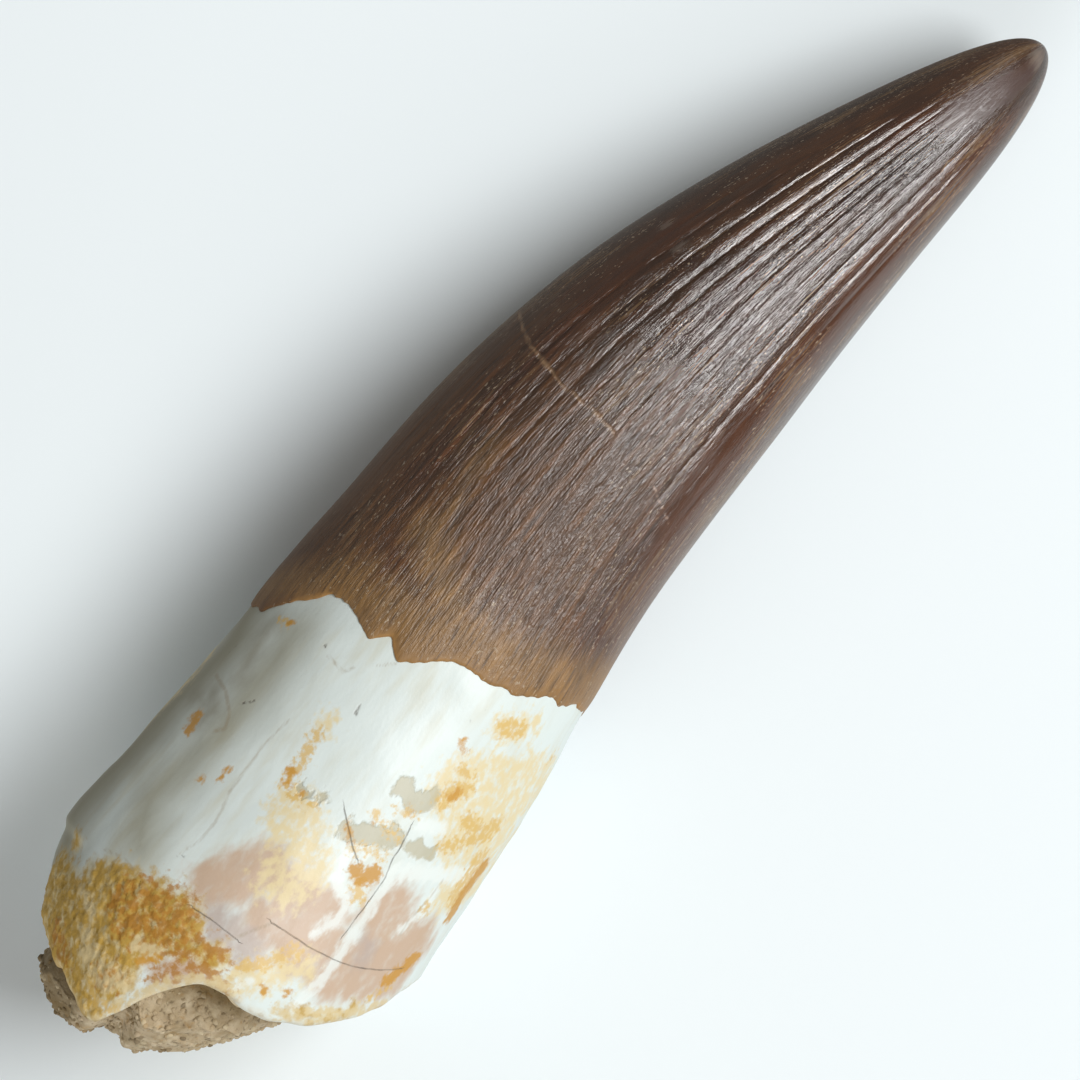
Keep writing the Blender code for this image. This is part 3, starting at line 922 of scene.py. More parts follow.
def raised_outwards(tree: NodeTree, geometry: object, height: object) -> NodeSocket:
    """Moves a surface out along its normals by a height in millimetres."""
    metres = add_node(tree, "ShaderNodeMath", {0: height, 1: MM}, operation="MULTIPLY")
    normal = add_node(tree, "GeometryNodeInputNormal")
    offset = add_node(tree, "ShaderNodeVectorMath", {0: normal, "Scale": metres}, operation="SCALE")
    return add_node(tree, "GeometryNodeSetPosition", {"Geometry": geometry, "Offset": offset})


@dataclass
class Crown:
    """The enamel crown, from its ragged lower rim to the worn tip."""

    form: ToothForm
    finish: MineralFinish = ENAMEL
    segments: int = 540
    body_rings: int = 146
    tip_rings: int = 16
    # The rim: offsets from the neck line, and how high the enamel stands there as a share of its step.
    rim: Points = ((0, -0.7), (0.03, 0.2), (0.1, 0.42), (0.25, 0.55), (0.6, 0.75), (1.2, 0.9), (2, 1))
    rim_chips: float = 0.12
    chips_every: float = 2.6
    chips_seed: float = 5.0
    rim_smooth_to: tuple[float, float] = (0.1, 0.8)
    inner_rise: float = 0.3
    inner_radii: tuple[float, ...] = (0.85, 0.5)
    tip_share: float = 0.06
    # The ribs are finer than those that the solids can hold.
    rib_count: int = 42
    rib_share: float = 0.64
    groove_sharpness: float = 0.35
    groove_level: float = 1.35
    # The ribs and wrinkles keep to a band along the top and one along the underside.
    band_half_widths: Points = ((22, 75), (30, 62), (37, 50), (44, 42), (54, 36), (62, 32))
    band_middles: Points = ((22, 0), (34, -4), (44, -2), (54, 5), (62, 8))
    band_fade: float = 28.0
    band_stray: float = 12.0
    band_stray_often: float = 2.5
    band_stray_length: float = 5.0
    band_least: float = 0.08
    worn_smooth_at: tuple[float, float] = (56.0, 62.0)
    # Each kind of raised wrinkle, the attribute with its share, and its pattern's seed.
    wrinkle_kinds: tuple[tuple[str, str, float], ...] = (
        ("Striae", "striae_share", 2.0), ("Crinkle", "crinkle_share", 5.0),
    )
    striae_length: float = 5.5
    striae_pitch: float = 0.5
    striae_height: float = 0.075
    crinkle_length: float = 1.7
    crinkle_pitch: float = 0.32
    crinkle_height: float = 0.035
    wander: float = 0.9
    striae_envelope: Points = ((21, 0.1), (27, 0.5), (33, 0.85), (42, 0.55), (52, 0.35), (62, 0))
    crinkle_envelope: Points = ((21, 0.15), (25, 0.7), (30, 0.9), (37, 0.25), (50, 0.1), (60, 0))
    wrinkle_envelope: Points = ((21, 0.6), (30, 1), (38, 0.8), (48, 0.4), (57, 0.35), (62, 0.3))
    sparkle_envelope: Points = ((21, 0.5), (25, 0.9), (30, 1), (40, 0.7), (52, 0.35), (58, 0.3), (62, 0.12))
    # Scuffs and low wrinkles come and go over the smooth sides.
    scuff_level: float = -0.2
    scuff_spread: float = 0.55
    scuff_calm: float = 0.2
    scuff_size: tuple[float, float, float] = (6.0, 1.8, 1.8)
    side_wrinkles: float = 0.2
    side_wrinkle_spread: float = 0.9
    side_wrinkle_range: tuple[float, float] = (0.1, 0.8)
    side_striae: float = 0.5
    tip_wrinkles: float = 0.8
    side_sparkle: float = 0.2
    tip_sparkle: float = 0.6
    # Towards the neck the enamel gets paler and duller, and its rim has a narrow paler band.
    warm_below: float = 36.0
    warm_rise: float = 0.2
    rim_band: Points = (
        (-90, -0.05), (-56, 0), (-50, 0.3), (-45, 0.26), (-38, 0), (-20, 0.1), (-11, 0.26), (-7, 0.08),
        (2, 0.06), (6, 0.2), (11, 0.06), (17, 0.14), (24, 0.03), (60, 0), (72, 0.26), (110, 0), (160, 0.15),
    )
    marks: tuple[Mark, ...] = (
        Mark(Tone.RUSSET, (
            (2.6, ((27, 62), (40, 55), (50, 50), (60, 40))), (1.6, ((24.5, 78), (30, 70), (36, 64))),
            (1.0, ((30, -45), (38, -40), (46, -48))), (1.5, ((57, -15), (62, 10))),
            (0.9, ((24.5, -32), (27, -30))),
        )),
        Mark(Tone.GOLDEN, (
            (2.5, ((22.4, -28), (23.5, 5), (24.5, 40), (25.5, 78))),
            (1.0, ((21, -84), (23, -50), (24.5, -36))), (0.1, ((27, -20), (33, -28))),
            (0.9, ((25.5, 0), (28, -25))),
        )),
        Mark(Tone.LINE, ((0.07, ((36.4, 32), (36, 40), (35.6, 50))),)),
        # Painted shade along the upper left flank of the upper crown.
        Mark(Tone.DARK, ((1.4, ((42, -86), (48, -80), (59, -60))),)),
        Mark(Tone.DULL, ((2.2, ((56, 8), (60, 8), (64.5, 40))),)),
        Mark(Tone.TIP, ((1.9, ((60.5, 0), (63.5, 20))),)),
        Mark(Tone.WORN, ((0.3, ((64.7, -5), (64.5, 30))), (0.2, ((45.4, -37),)), (0.2, ((45.6, -55),)))),
    )
    cracks: tuple[Crack, ...] = (
        Crack(((38.2, -76), (37.4, -49), (37.2, -33), (37, -21), (37.1, -9), (37, 4))),
        Crack(((57.5, 28), (57.9, 26), (58.1, 27))),
    )

    def stations(self, angle: Array) -> tuple[Array, Array]:
        """The rings' stations, and each point's distance above the neck line."""
        often = 180.0 / math.pi / self.chips_every
        chips = self.rim_chips * lumps(self.form.ring_place(angle, often, 0.0 * angle + self.chips_seed))
        neck = self.form.neck(angle) + chips
        rim = np.array([offset for offset, _ in self.rim])[:, None] + neck
        low, span = rim[-1], self.form.tip - rim[-1]
        shares = np.linspace(0.0, 1.0 - self.tip_share, self.body_rings + 1)[1:]
        left = 1.0 - np.arange(1, self.tip_rings) / self.tip_rings
        shares = np.append(shares, 1.0 - self.tip_share * left**2)
        stations = np.concatenate((rim, low + shares[:, None] * span))
        return stations, stations - neck

    def band(self, station: Array, angle: Array) -> Array:
        """1 in the ribbed bands along the top and the underside, near 0 on the smooth sides."""
        place = self.form.ring_place(angle, self.band_stray_often, station / self.band_stray_length)
        stray = self.band_stray * lumps(place)
        aside = wrapped(angle - smooth(self.band_middles, station) + stray)
        aside = np.minimum(np.abs(aside), np.abs(wrapped(aside + 180.0)))
        half = smooth(self.band_half_widths, station)
        outside = np.clip((aside - half) / self.band_fade + 0.5, 0.0, 1.0)
        wear = 1.0 - step_up(station, *self.worn_smooth_at)
        return wear * (1.0 - (1.0 - self.band_least) * outside * outside * (3.0 - 2.0 * outside))

    def relief(self, station: Array, angle: Array, above_neck: Array, band: Array) -> Array:
        """How far the enamel stands out of the plain form: its step, its rounded rim and its ribs."""
        form = self.form
        rim = np.interp(above_neck, *np.array(self.rim).T)
        crest = np.abs(np.cos(form.rib_phase(station, angle, self.rib_count) / 2.0)) ** self.groove_sharpness
        ribs = self.rib_share * band * form.rib_strength(station, angle) * (2.0 * crest - self.groove_level)
        return (form.enamel_height(station) * rim + ribs) * form.slenderness(station)

    def base_mesh(self) -> Mesh:
        """The crown's closed mesh before the fine wrinkles, with its fields."""
        form = self.form
        angle = np.arange(self.segments) * 360.0 / self.segments
        station, above_neck = self.stations(angle)
        angles = np.broadcast_to(angle, station.shape)
        band = self.band(station, angles)
        outside = form.surface(station, angles, self.relief(station, angles, above_neck, band))
        width = form.half_width(station[0])
        low = station[0] + self.inner_rise
        inner = [form.surface(low, angle, -(1.0 - share) * width) for share in self.inner_radii]
        rings = np.concatenate((np.array(inner[::-1]), outside))
        cap = np.repeat(station[:1], len(inner), axis=0)
        station = np.concatenate((cap, station))
        above_neck = np.concatenate((np.full(cap.shape, -1.0), above_neck))
        band = np.concatenate((np.zeros(cap.shape), band)) * step_up(above_neck, *self.rim_smooth_to)
        angles = np.broadcast_to(angle, station.shape)
        tip_pole = form.raw_axis(np.array(form.tip)) + form.place
        mesh = closed_mesh("crown", rings, rings[0].mean(axis=0), tip_pole)
        rod = form.rod(station, angles)
        patches = lumps(rod / self.scuff_size)
        worn = step_up(station, *self.worn_smooth_at)
        aside = np.clip(self.side_wrinkles + self.side_wrinkle_spread * patches, *self.side_wrinkle_range)
        striae = np.maximum(band, self.side_striae * aside * (band > 0.0))
        wrinkles = np.maximum(band, np.maximum(aside, self.tip_wrinkles * worn))
        fields = {
            "rod": rod,
            "scuffs": self.scuff_level - self.scuff_calm * band + self.scuff_spread * patches,
            "striae_share": smooth(self.striae_envelope, station) * striae,
            "crinkle_share": smooth(self.crinkle_envelope, station) * band,
            "wrinkle_share": smooth(self.wrinkle_envelope, station) * wrinkles,
            "sparkle_share": smooth(self.sparkle_envelope, station)
            * np.maximum(band, self.side_sparkle + self.tip_sparkle * worn),
            "neck_warmth": np.clip(self.warm_rise * (self.warm_below - station), -FIELD_REACH, FIELD_REACH),
            "neck_rim": np.clip(around(self.rim_band, angles) - above_neck, -FIELD_REACH, FIELD_REACH),
            **mark_fields(station, angles, self.marks),
            **crack_fields(station, angles, self.cracks),
        }
        store_fields(mesh, fields)
        return mesh

    def wrinkles(self, values: dict[str, object]) -> NodeTree:
        """Geometry nodes that wrinkle the enamel lengthwise and crinkle it across the middle."""
        tree, inputs, end = new_tree("enamel_wrinkles", values)
        total = None
        for label, attribute, seed in self.wrinkle_kinds:
            crest = wrinkled_relief(
                tree, inputs[f"{label} Length"], inputs[f"{label} Pitch"], inputs["Wander"], seed
            )
            share = field_value(tree, attribute)
            height = add_node(
                tree, "ShaderNodeMath", {0: share, 1: inputs[f"{label} Height"]}, operation="MULTIPLY"
            )
            level = add_node(tree, "ShaderNodeMath", {0: crest, 1: -GROOVE_MEAN}, operation="ADD")
            total = add_node(
                tree,
                "ShaderNodeMath",
                {0: level, 1: height, 2: 0.0 if total is None else total},
                operation="MULTIPLY_ADD",
            )
        moved = raised_outwards(tree, inputs["Geometry"], total)
        # The grooves' depth, which the enamel reads to paint shade in the grooves.
        depth = add_node(tree, "ShaderNodeMath", {0: total, 1: -1.0}, operation="MULTIPLY")
        groove = add_node(
            tree,
            "GeometryNodeStoreNamedAttribute",
            {"Geometry": moved, "Name": "groove", "Value": depth},
            data_type="FLOAT",
            domain="POINT",
        )
        finish_tree(tree, groove, inputs["Material"], end)
        return tree

    def build(self) -> Object:
        """Makes the crown and dresses it."""
        values = {
            "Striae Length": self.striae_length,
            "Striae Pitch": self.striae_pitch,
            "Striae Height": self.striae_height,
            "Crinkle Length": self.crinkle_length,
            "Crinkle Pitch": self.crinkle_pitch,
            "Crinkle Height": self.crinkle_height,
            "Wander": self.wander,
            "Material": self.finish.material(),
        }
        piece = evaluated_piece("crown", self.base_mesh(), self.wrinkles(values), values)
        return sealed(piece, "tooth")


@dataclass
class Root:
    """The pale root: its outside, the broken end and the hollow inside it."""

    form: ToothForm
    finish: MineralFinish = DENTINE
    segments: int = 448
    side_rings: int = 120
    break_rings: int = 12
    hollow_rings: int = 24
    # Under the enamel the root sinks out of sight: offsets above the neck line, and depths.
    tuck: Points = ((0.12, 0), (0.4, 0.3), (0.9, 0.45))
    cap_radii: tuple[float, ...] = (0.7, 0.35)
    # The broken face and the fine lumps of the outside.
    break_roughness: float = 0.3
    break_grain: float = 0.9
    fine_height: float = 0.035
    fine_size: float = 1.3
    edge_rounding: float = 0.3
    broken_width: float = 3.0
    crust_height: float = 0.2
    crust_grain: float = 0.42
    crust_seed: float = 9.0
    # The lumps calm down towards the neck, over this length and by this share.
    neck_smoothing: float = 1.6
    neck_calm: float = 0.7
    edge_wear: float = 0.6
    # How far from the break and from the neck the crust comes in, and where in its field it rises.
    outdoors_run: tuple[float, float] = (0.4, 0.3)
    crust_tint_rise: tuple[float, float] = (-0.4, 0.6)
    crust_rise: tuple[float, float] = (-0.5, 0.7)
    marks: tuple[Mark, ...] = (
        # Painted shade in grey over the upper left side, partly that side's own greyer tone, and grey stains
        # there.
        Mark(Tone.SHADE, (
            (2.2, ((20.8, -84), (18.5, -70), (14, -76), (9, -76), (5.5, -72))),
            (0.9, ((20.6, -44), (16, -42), (10, -46), (8, -36))),
        )),
        Mark(Tone.GREY, (
            (0.42, ((20.4, -55), (19.5, -56), (17.9, -52), (17.3, -51))), (0.3, ((15.2, -67), (15.1, -57))),
            (0.4, ((15.9, -57), (15.1, -50))), (0.35, ((15.8, -58), (15, -52), (14.4, -52))),
        )),
        # The pinkish tan and the greyish mauve of the lower part.
        Mark(Tone.TAN, (
            (1.2, ((8.9, -10), (9.8, -6), (11, 0))), (1.1, ((10, 17), (9, 8))),
            (0.7, ((13.6, 41), (12, 42), (10.4, 42))), (0.9, ((12.6, 61), (11.3, 55), (10, 48))),
            (0.8, ((8.3, 36), (8.8, 45), (9.6, 52))), (0.8, ((10.1, 29.5), (9.2, 27), (8.4, 22))),
            (0.5, ((4.1, -7), (5.2, 1))), (0.6, ((10.2, 16), (10.9, 21), (11.6, 22))),
            (0.9, ((11, 8), (11.2, 24), (10, 22))), (1.5, ((9.6, 14), (9.2, 36), (10.4, 60))),
            (1.2, ((12.4, 40), (12, 62))),
        )),
        Mark(Tone.MAUVE, ((0.9, ((7.5, -2), (7.4, 9))), (0.5, ((10.9, 42), (10.2, 43))))),
        # Cream speckle of the right side and the middle.
        Mark(Tone.CREAM, (
            (1.5, ((19, 36), (19.9, 48), (20.6, 60), (21.2, 76))), (1.5, ((17.3, 50), (18.2, 66))),
            (1.0, ((15, 60), (16.2, 80))), (1.2, ((13.6, -4), (12, 8), (11, 6))),
            (0.6, ((22.5, 38), (22.9, 44), (23.2, 48))), (0.3, ((18.1, -13),)),
            (0.6, ((5.9, 13), (7, 20), (8.3, 26))),
        )),
        # White bands and an oval.
        Mark(Tone.WHITE, (
            (0.26, ((13.8, 16), (12.6, 17.5), (12.1, 23), (11.8, 27.5), (10.9, 27), (9.9, 23))),
            (0.28, ((14.4, 33), (13.3, 34), (10.6, 35), (9.3, 34.5), (7.9, 33.5), (6.5, 33))),
            (0.4, ((14.5, 36), (15.2, 45), (15.8, 60), (16.2, 70))), (0.22, ((5.9, 14.5), (6.3, 16))),
            (0.33, ((16.7, 32), (17.1, 39))), (0.2, ((14.2, 22),)),
            (0.22, ((12.4, 50), (13.3, 52), (14.6, 52))),
        )),
        # Two shallow flakes with a translucent grey-tan floor, and smaller ones.
        Mark(Tone.FLAKE, (
            (0.55, ((17.6, 19.5), (17.5, 25), (18, 30))), (0.5, ((14.6, 12.5), (15.1, 19), (15.6, 26))),
            (0.35, ((15.6, 33), (15.9, 40))), (0.24, ((14.9, -8), (14.8, -3), (15.1, 0))),
        )),
        # The granular crust beside the break, and the pale rim under it.
        Mark(Tone.CRUST, (
            (1.5, ((4.9, -40), (5.6, -30), (5.6, -22), (6.2, -14))), (1.9, ((3.4, -66), (3, -42), (3, -25))),
            (1.6, ((2.2, -78), (1.4, -45))), (0.5, ((5.9, -5), (6.2, 3))),
            (0.9, ((2.6, -110), (1.6, -75), (0.6, -36), (0, -20))), (0.3, ((6.1, -63),)),
            (0.12, ((6.3, 32), (7.1, 46), (8.1, 52))),
        )),
        Mark(Tone.PALE, (
            (0.3, ((5.9, 30), (8.9, 64))), (0.6, ((2.9, -36), (2.2, -24), (2.6, -16))),
            (0.3, ((4.4, -17), (4.7, -12))), (0.25, ((4.6, -46), (4.3, -38))),
            (0.3, ((1.7, -13), (2.4, -9), (3.5, -4), (4.7, 3), (5.5, 11))),
        )),
        # Golden and ochre stains: the hook, the heart, the spots and the right edge.
        Mark(Tone.GOLD, (
            (0.2, ((17.4, -14), (16.6, -13), (15.9, -12), (15.3, -13), (14.6, -12))),
            (0.12, ((14.3, -9), (14.3, -4), (14.6, -1))), (0.14, ((20.7, -49), (20.6, -53))),
            (0.4, ((18.2, 34), (18.9, 35), (19.2, 39))), (0.35, ((18, 47), (17.9, 56), (18.5, 62))),
            (0.3, ((16.5, 44), (17.3, 53), (18, 61))), (0.22, ((19.9, 33), (19.7, 38))), (0.2, ((22.5, 73),)),
            (0.4, ((22.5, 39), (22.9, 45))), (0.24, ((13.7, 53),)), (0.3, ((12.9, 26), (12.4, 28.5))),
            (0.14, ((14, 18), (14.5, 22), (14.6, 27))), (0.12, ((10, 62), (8.8, 56))),
            (0.1, ((15.9, 16), (15.6, 27))), (0.1, ((16.6, 20), (16.9, 28))),
            (0.25, ((6.7, 12), (7.6, 17), (8.8, 22))), (0.2, ((1.5, -27), (0.9, -22), (1.3, -13))),
            (0.7, ((16.6, 66), (15, 66))),
        )),
        Mark(Tone.OCHRE, (
            (0.2, ((15.2, -13.5), (14.6, -12))), (0.14, ((14.6, -6),)), (0.4, ((13.3, 22.3),)),
            (0.4, ((13.7, 28), (13.2, 26))), (0.2, ((18.4, 35), (18.9, 37))), (0.15, ((20.9, 28), (20.6, 30))),
            (0.2, ((20.8, -48),)), (0.36, ((13.7, -54), (14.4, -55.5))), (0.16, ((12.2, -36),)),
            (0.1, ((12.7, -31), (13.4, -30))), (0.5, ((16.6, 72.5), (15.8, 71), (14.8, 70), (14.2, 71))),
            (0.4, ((11.6, 65), (10.7, 62), (10, 58))), (0.1, ((14.8, 11), (14.3, 15))), (0.08, ((15.5, 17),)),
            (0.08, ((16.9, 27), (17, 24))), (0.14, ((6.9, 28),)), (0.14, ((6.3, 22), (6.5, 20))),
            (0.18, ((3.8, -15), (4.5, -10))),
        )),
        # Faint brown lines, fine scratches and dark spots.
        Mark(Tone.LINE, (
            (0.1, ((16.6, -63), (16.3, -52), (15.6, -44), (14.8, -41), (14.4, -44))),
            (0.05, ((20.6, -27), (20.4, -19), (20.9, -17))),
            (0.05, ((17.1, -24), (15.4, -26), (12.7, -25), (11.2, -22), (10, -22), (8.9, -24))),
            (0.05, ((6.8, -47), (7.1, -37), (6.9, -29), (6.7, -25))),
            (0.05, ((12.1, 51), (12.9, 50), (14, 51), (15.2, 52))), (0.05, ((7.6, 5), (8.4, 8), (9.1, 11))),
            (0.05, ((21.5, -12), (22.2, -6))),
        )),
        Mark(Tone.SPOT, (
            (0.1, ((20.9, -30),)), (0.04, ((16.2, -43), (16.8, -39))), (0.02, ((17.7, -66), (18.4, -65))),
            (0.07, ((19.1, -7.5), (19.6, -8))), (0.04, ((8.8, -24), (9.05, -22))), (0.07, ((21.9, 26),)),
            (0.02, ((22.7, 28),)),
        )),
    )
    cracks: tuple[Crack, ...] = (
        Crack(((7.4, -10), (7.5, -3), (7.5, 5))),
        Crack(((9.1, 11), (9.2, 21), (9.3, 28), (9.5, 36), (9.7, 42), (10.1, 50), (10.8, 61))),
        Crack(((16.3, 29), (15.3, 30), (14.8, 30), (13.9, 32), (12.7, 32.5), (10.7, 32))),
        Crack(((15.3, 7), (14.8, 11), (14.2, 16), (13.8, 20))),
    )
    # Where the crust is thickest and darkest.
    crust_heart: tuple[Mark, ...] = (
        Mark(Tone.CRUST, (
            (0.9, ((5.6, -28), (6.4, -20), (6.8, -14), (5.8, -10))), (0.8, ((4.9, -24), (5.3, -13))),
            (0.3, ((5.7, -7), (6.3, 0), (6.6, 4))), (0.3, ((3.6, -8), (4.9, -2), (5.5, 4), (5.4, 10))),
            (0.4, ((2, -24), (2.7, -18))), (0.35, ((2.4, -55), (1.6, -45))),
        )),
    )
    # The far side's stains: how many, their tones and half widths, and the ranges that chance picks from.
    far_side_marks: int = 26
    far_side_seed: int = 7
    far_side_tones: tuple[tuple[Tone, float], ...] = (
        (Tone.OCHRE, 0.3), (Tone.TAN, 1.4), (Tone.WHITE, 0.4), (Tone.CREAM, 1.6),
        (Tone.GREY, 0.5), (Tone.CRUST, 0.9), (Tone.SPOT, 0.1), (Tone.GOLD, 0.4),
    )
    far_side_stations: tuple[float, float] = (4.0, 21.0)
    far_side_angles: tuple[float, float] = (95.0, 265.0)
    far_side_runs: tuple[float, float] = (0.5, 3.0)
    far_side_leans: tuple[float, float] = (-12.0, 12.0)
    far_side_sizes: tuple[float, float] = (0.7, 1.3)

    def scattered_marks(self) -> tuple[Mark, ...]:
        """Stains like those of the side shown, strewn over the far side."""
        rng = np.random.default_rng(self.far_side_seed)
        made = []
        for i in range(self.far_side_marks):
            tone, half_width = self.far_side_tones[i % len(self.far_side_tones)]
            station, angle = rng.uniform(*self.far_side_stations), rng.uniform(*self.far_side_angles)
            run, lean = rng.uniform(*self.far_side_runs), rng.uniform(*self.far_side_leans)
            size = half_width * rng.uniform(*self.far_side_sizes)
            made.append(Mark(tone, ((size, ((station, angle), (station + run, angle + lean))),)))
        return tuple(made)

    def base_mesh(self) -> Mesh:
        """The root's closed mesh before its crust, with its fields."""
        form = self.form
        angle = np.arange(self.segments) * 360.0 / self.segments
        edge, neck = form.edge(angle), form.neck(angle)
        shares = np.linspace(0.0, 1.0, self.side_rings)[:, None]
        side = edge + shares * (neck - edge)
        tucked = np.array([offset for offset, _ in self.tuck])[:, None] + neck
        depths = np.array([depth for _, depth in self.tuck])[:, None]
        side_angles = np.broadcast_to(angle, side.shape)
        fine = self.fine_height * lumps(form.surface(side, side_angles, 0.0 * side) / self.fine_size)
        # The break's edge is worn round over a short run.
        run = np.clip((side - edge) / self.edge_rounding, 0.0, 1.0)
        worn = self.edge_rounding * (1.0 - np.sqrt(np.maximum(1.0 - (1.0 - run) ** 2, 0.0)))
        calm = 1.0 - self.neck_calm * step_up(side - neck, -self.neck_smoothing, 0.0)
        relief = form.root_relief(side, side_angles) * calm + fine - worn * self.edge_wear
        outside = form.surface(side, side_angles, relief)
        tuck_angles = np.broadcast_to(angle, tucked.shape)
        under = form.surface(tucked, tuck_angles, relief[-1] - depths)
        caps = np.array([
            form.surface(tucked[-1], angle, -(1.0 - share) * form.half_width(tucked[-1]))
            for share in self.cap_radii
        ])
        mouth = edge + form.mouth_bevel
        mouth_ring = form.on_hollow(mouth, angle, form.hollow_radius(mouth))
        across = (np.arange(1, self.break_rings) / self.break_rings)[:, None, None]
        wall = outside[0] * (1.0 - across) + mouth_ring * across
        rough = self.break_roughness * lumps(wall / self.break_grain)
        rough = rough * np.sin(np.pi * across[..., 0]) ** 0.5
        wall[..., 0] += rough
        deep = (np.arange(self.hollow_rings) / self.hollow_rings)[:, None]
        inner = mouth + (form.hollow_top - mouth) * np.sin(deep * np.pi / 2)
        inner_angles = np.broadcast_to(angle, inner.shape)
        hollow = form.on_hollow(inner, inner_angles, form.hollow_radius(inner))
        rings = np.concatenate((hollow[::-1], wall[::-1], outside, under, caps))
        station = np.concatenate((
            inner[::-1],
            edge - self.broken_width * across[::-1, :, 0],
            side,
            tucked,
            np.repeat(tucked[-1:], len(caps), axis=0),
        ))
        from_break, from_neck = self.outdoors_run
        outdoors = np.concatenate((
            np.zeros(inner.shape),
            np.zeros((len(wall), self.segments)),
            step_up(side - edge, 0.0, from_break) * step_up(neck - side, 0.0, from_neck),
            np.zeros((len(tucked) + len(caps), self.segments)),
        ))
        first = form.on_hollow(np.array(form.hollow_top), np.array(0.0), np.array(0.0))
        mesh = closed_mesh("root", rings, first, rings[-1].mean(axis=0))
        angles = np.broadcast_to(angle, station.shape)
        heart = mark_fields(station, angles, self.crust_heart)[Tone.CRUST.value]
        marks = mark_fields(station, angles, self.marks + self.scattered_marks())
        fields = {
            "rod": form.rod(station, angles),
            "outdoors": outdoors,
            "broken_face": np.clip(form.edge(angles) - station, -FIELD_REACH, FIELD_REACH),
            "crust_heart": heart,
            "crustiness": outdoors * step_up(marks[Tone.CRUST.value], *self.crust_tint_rise),
            **marks,
            **crack_fields(station, angles, self.cracks),
        }
        store_fields(mesh, fields)
        return mesh

    def crusting(self, values: dict[str, object]) -> NodeTree:
        """Geometry nodes that raise the granular crust."""
        tree, inputs, end = new_tree("mineral_crust", values)
        low, high = self.crust_rise
        crest = wrinkled_relief(tree, inputs["Crust Grain"], inputs["Crust Grain"], 0.0, self.crust_seed)
        field = field_value(tree, Tone.CRUST.value)
        share = add_node(tree, "ShaderNodeMapRange", {"Value": field, "From Min": low, "From Max": high})
        outdoors = field_value(tree, "outdoors")
        share = add_node(tree, "ShaderNodeMath", {0: share, 1: outdoors}, operation="MULTIPLY")
        height = add_node(tree, "ShaderNodeMath", {0: share, 1: inputs["Crust Height"]}, operation="MULTIPLY")
        height = add_node(tree, "ShaderNodeMath", {0: height, 1: crest}, operation="MULTIPLY")
        moved = raised_outwards(tree, inputs["Geometry"], height)
        finish_tree(tree, moved, inputs["Material"], end)
        return tree

    def build(self) -> Object:
        """Makes the root and dresses it."""
        values = {
            "Crust Height": self.crust_height,
            "Crust Grain": self.crust_grain,
            "Material": self.finish.material(),
        }
        piece = evaluated_piece("root", self.base_mesh(), self.crusting(values), values)
        return sealed(piece, "tooth")


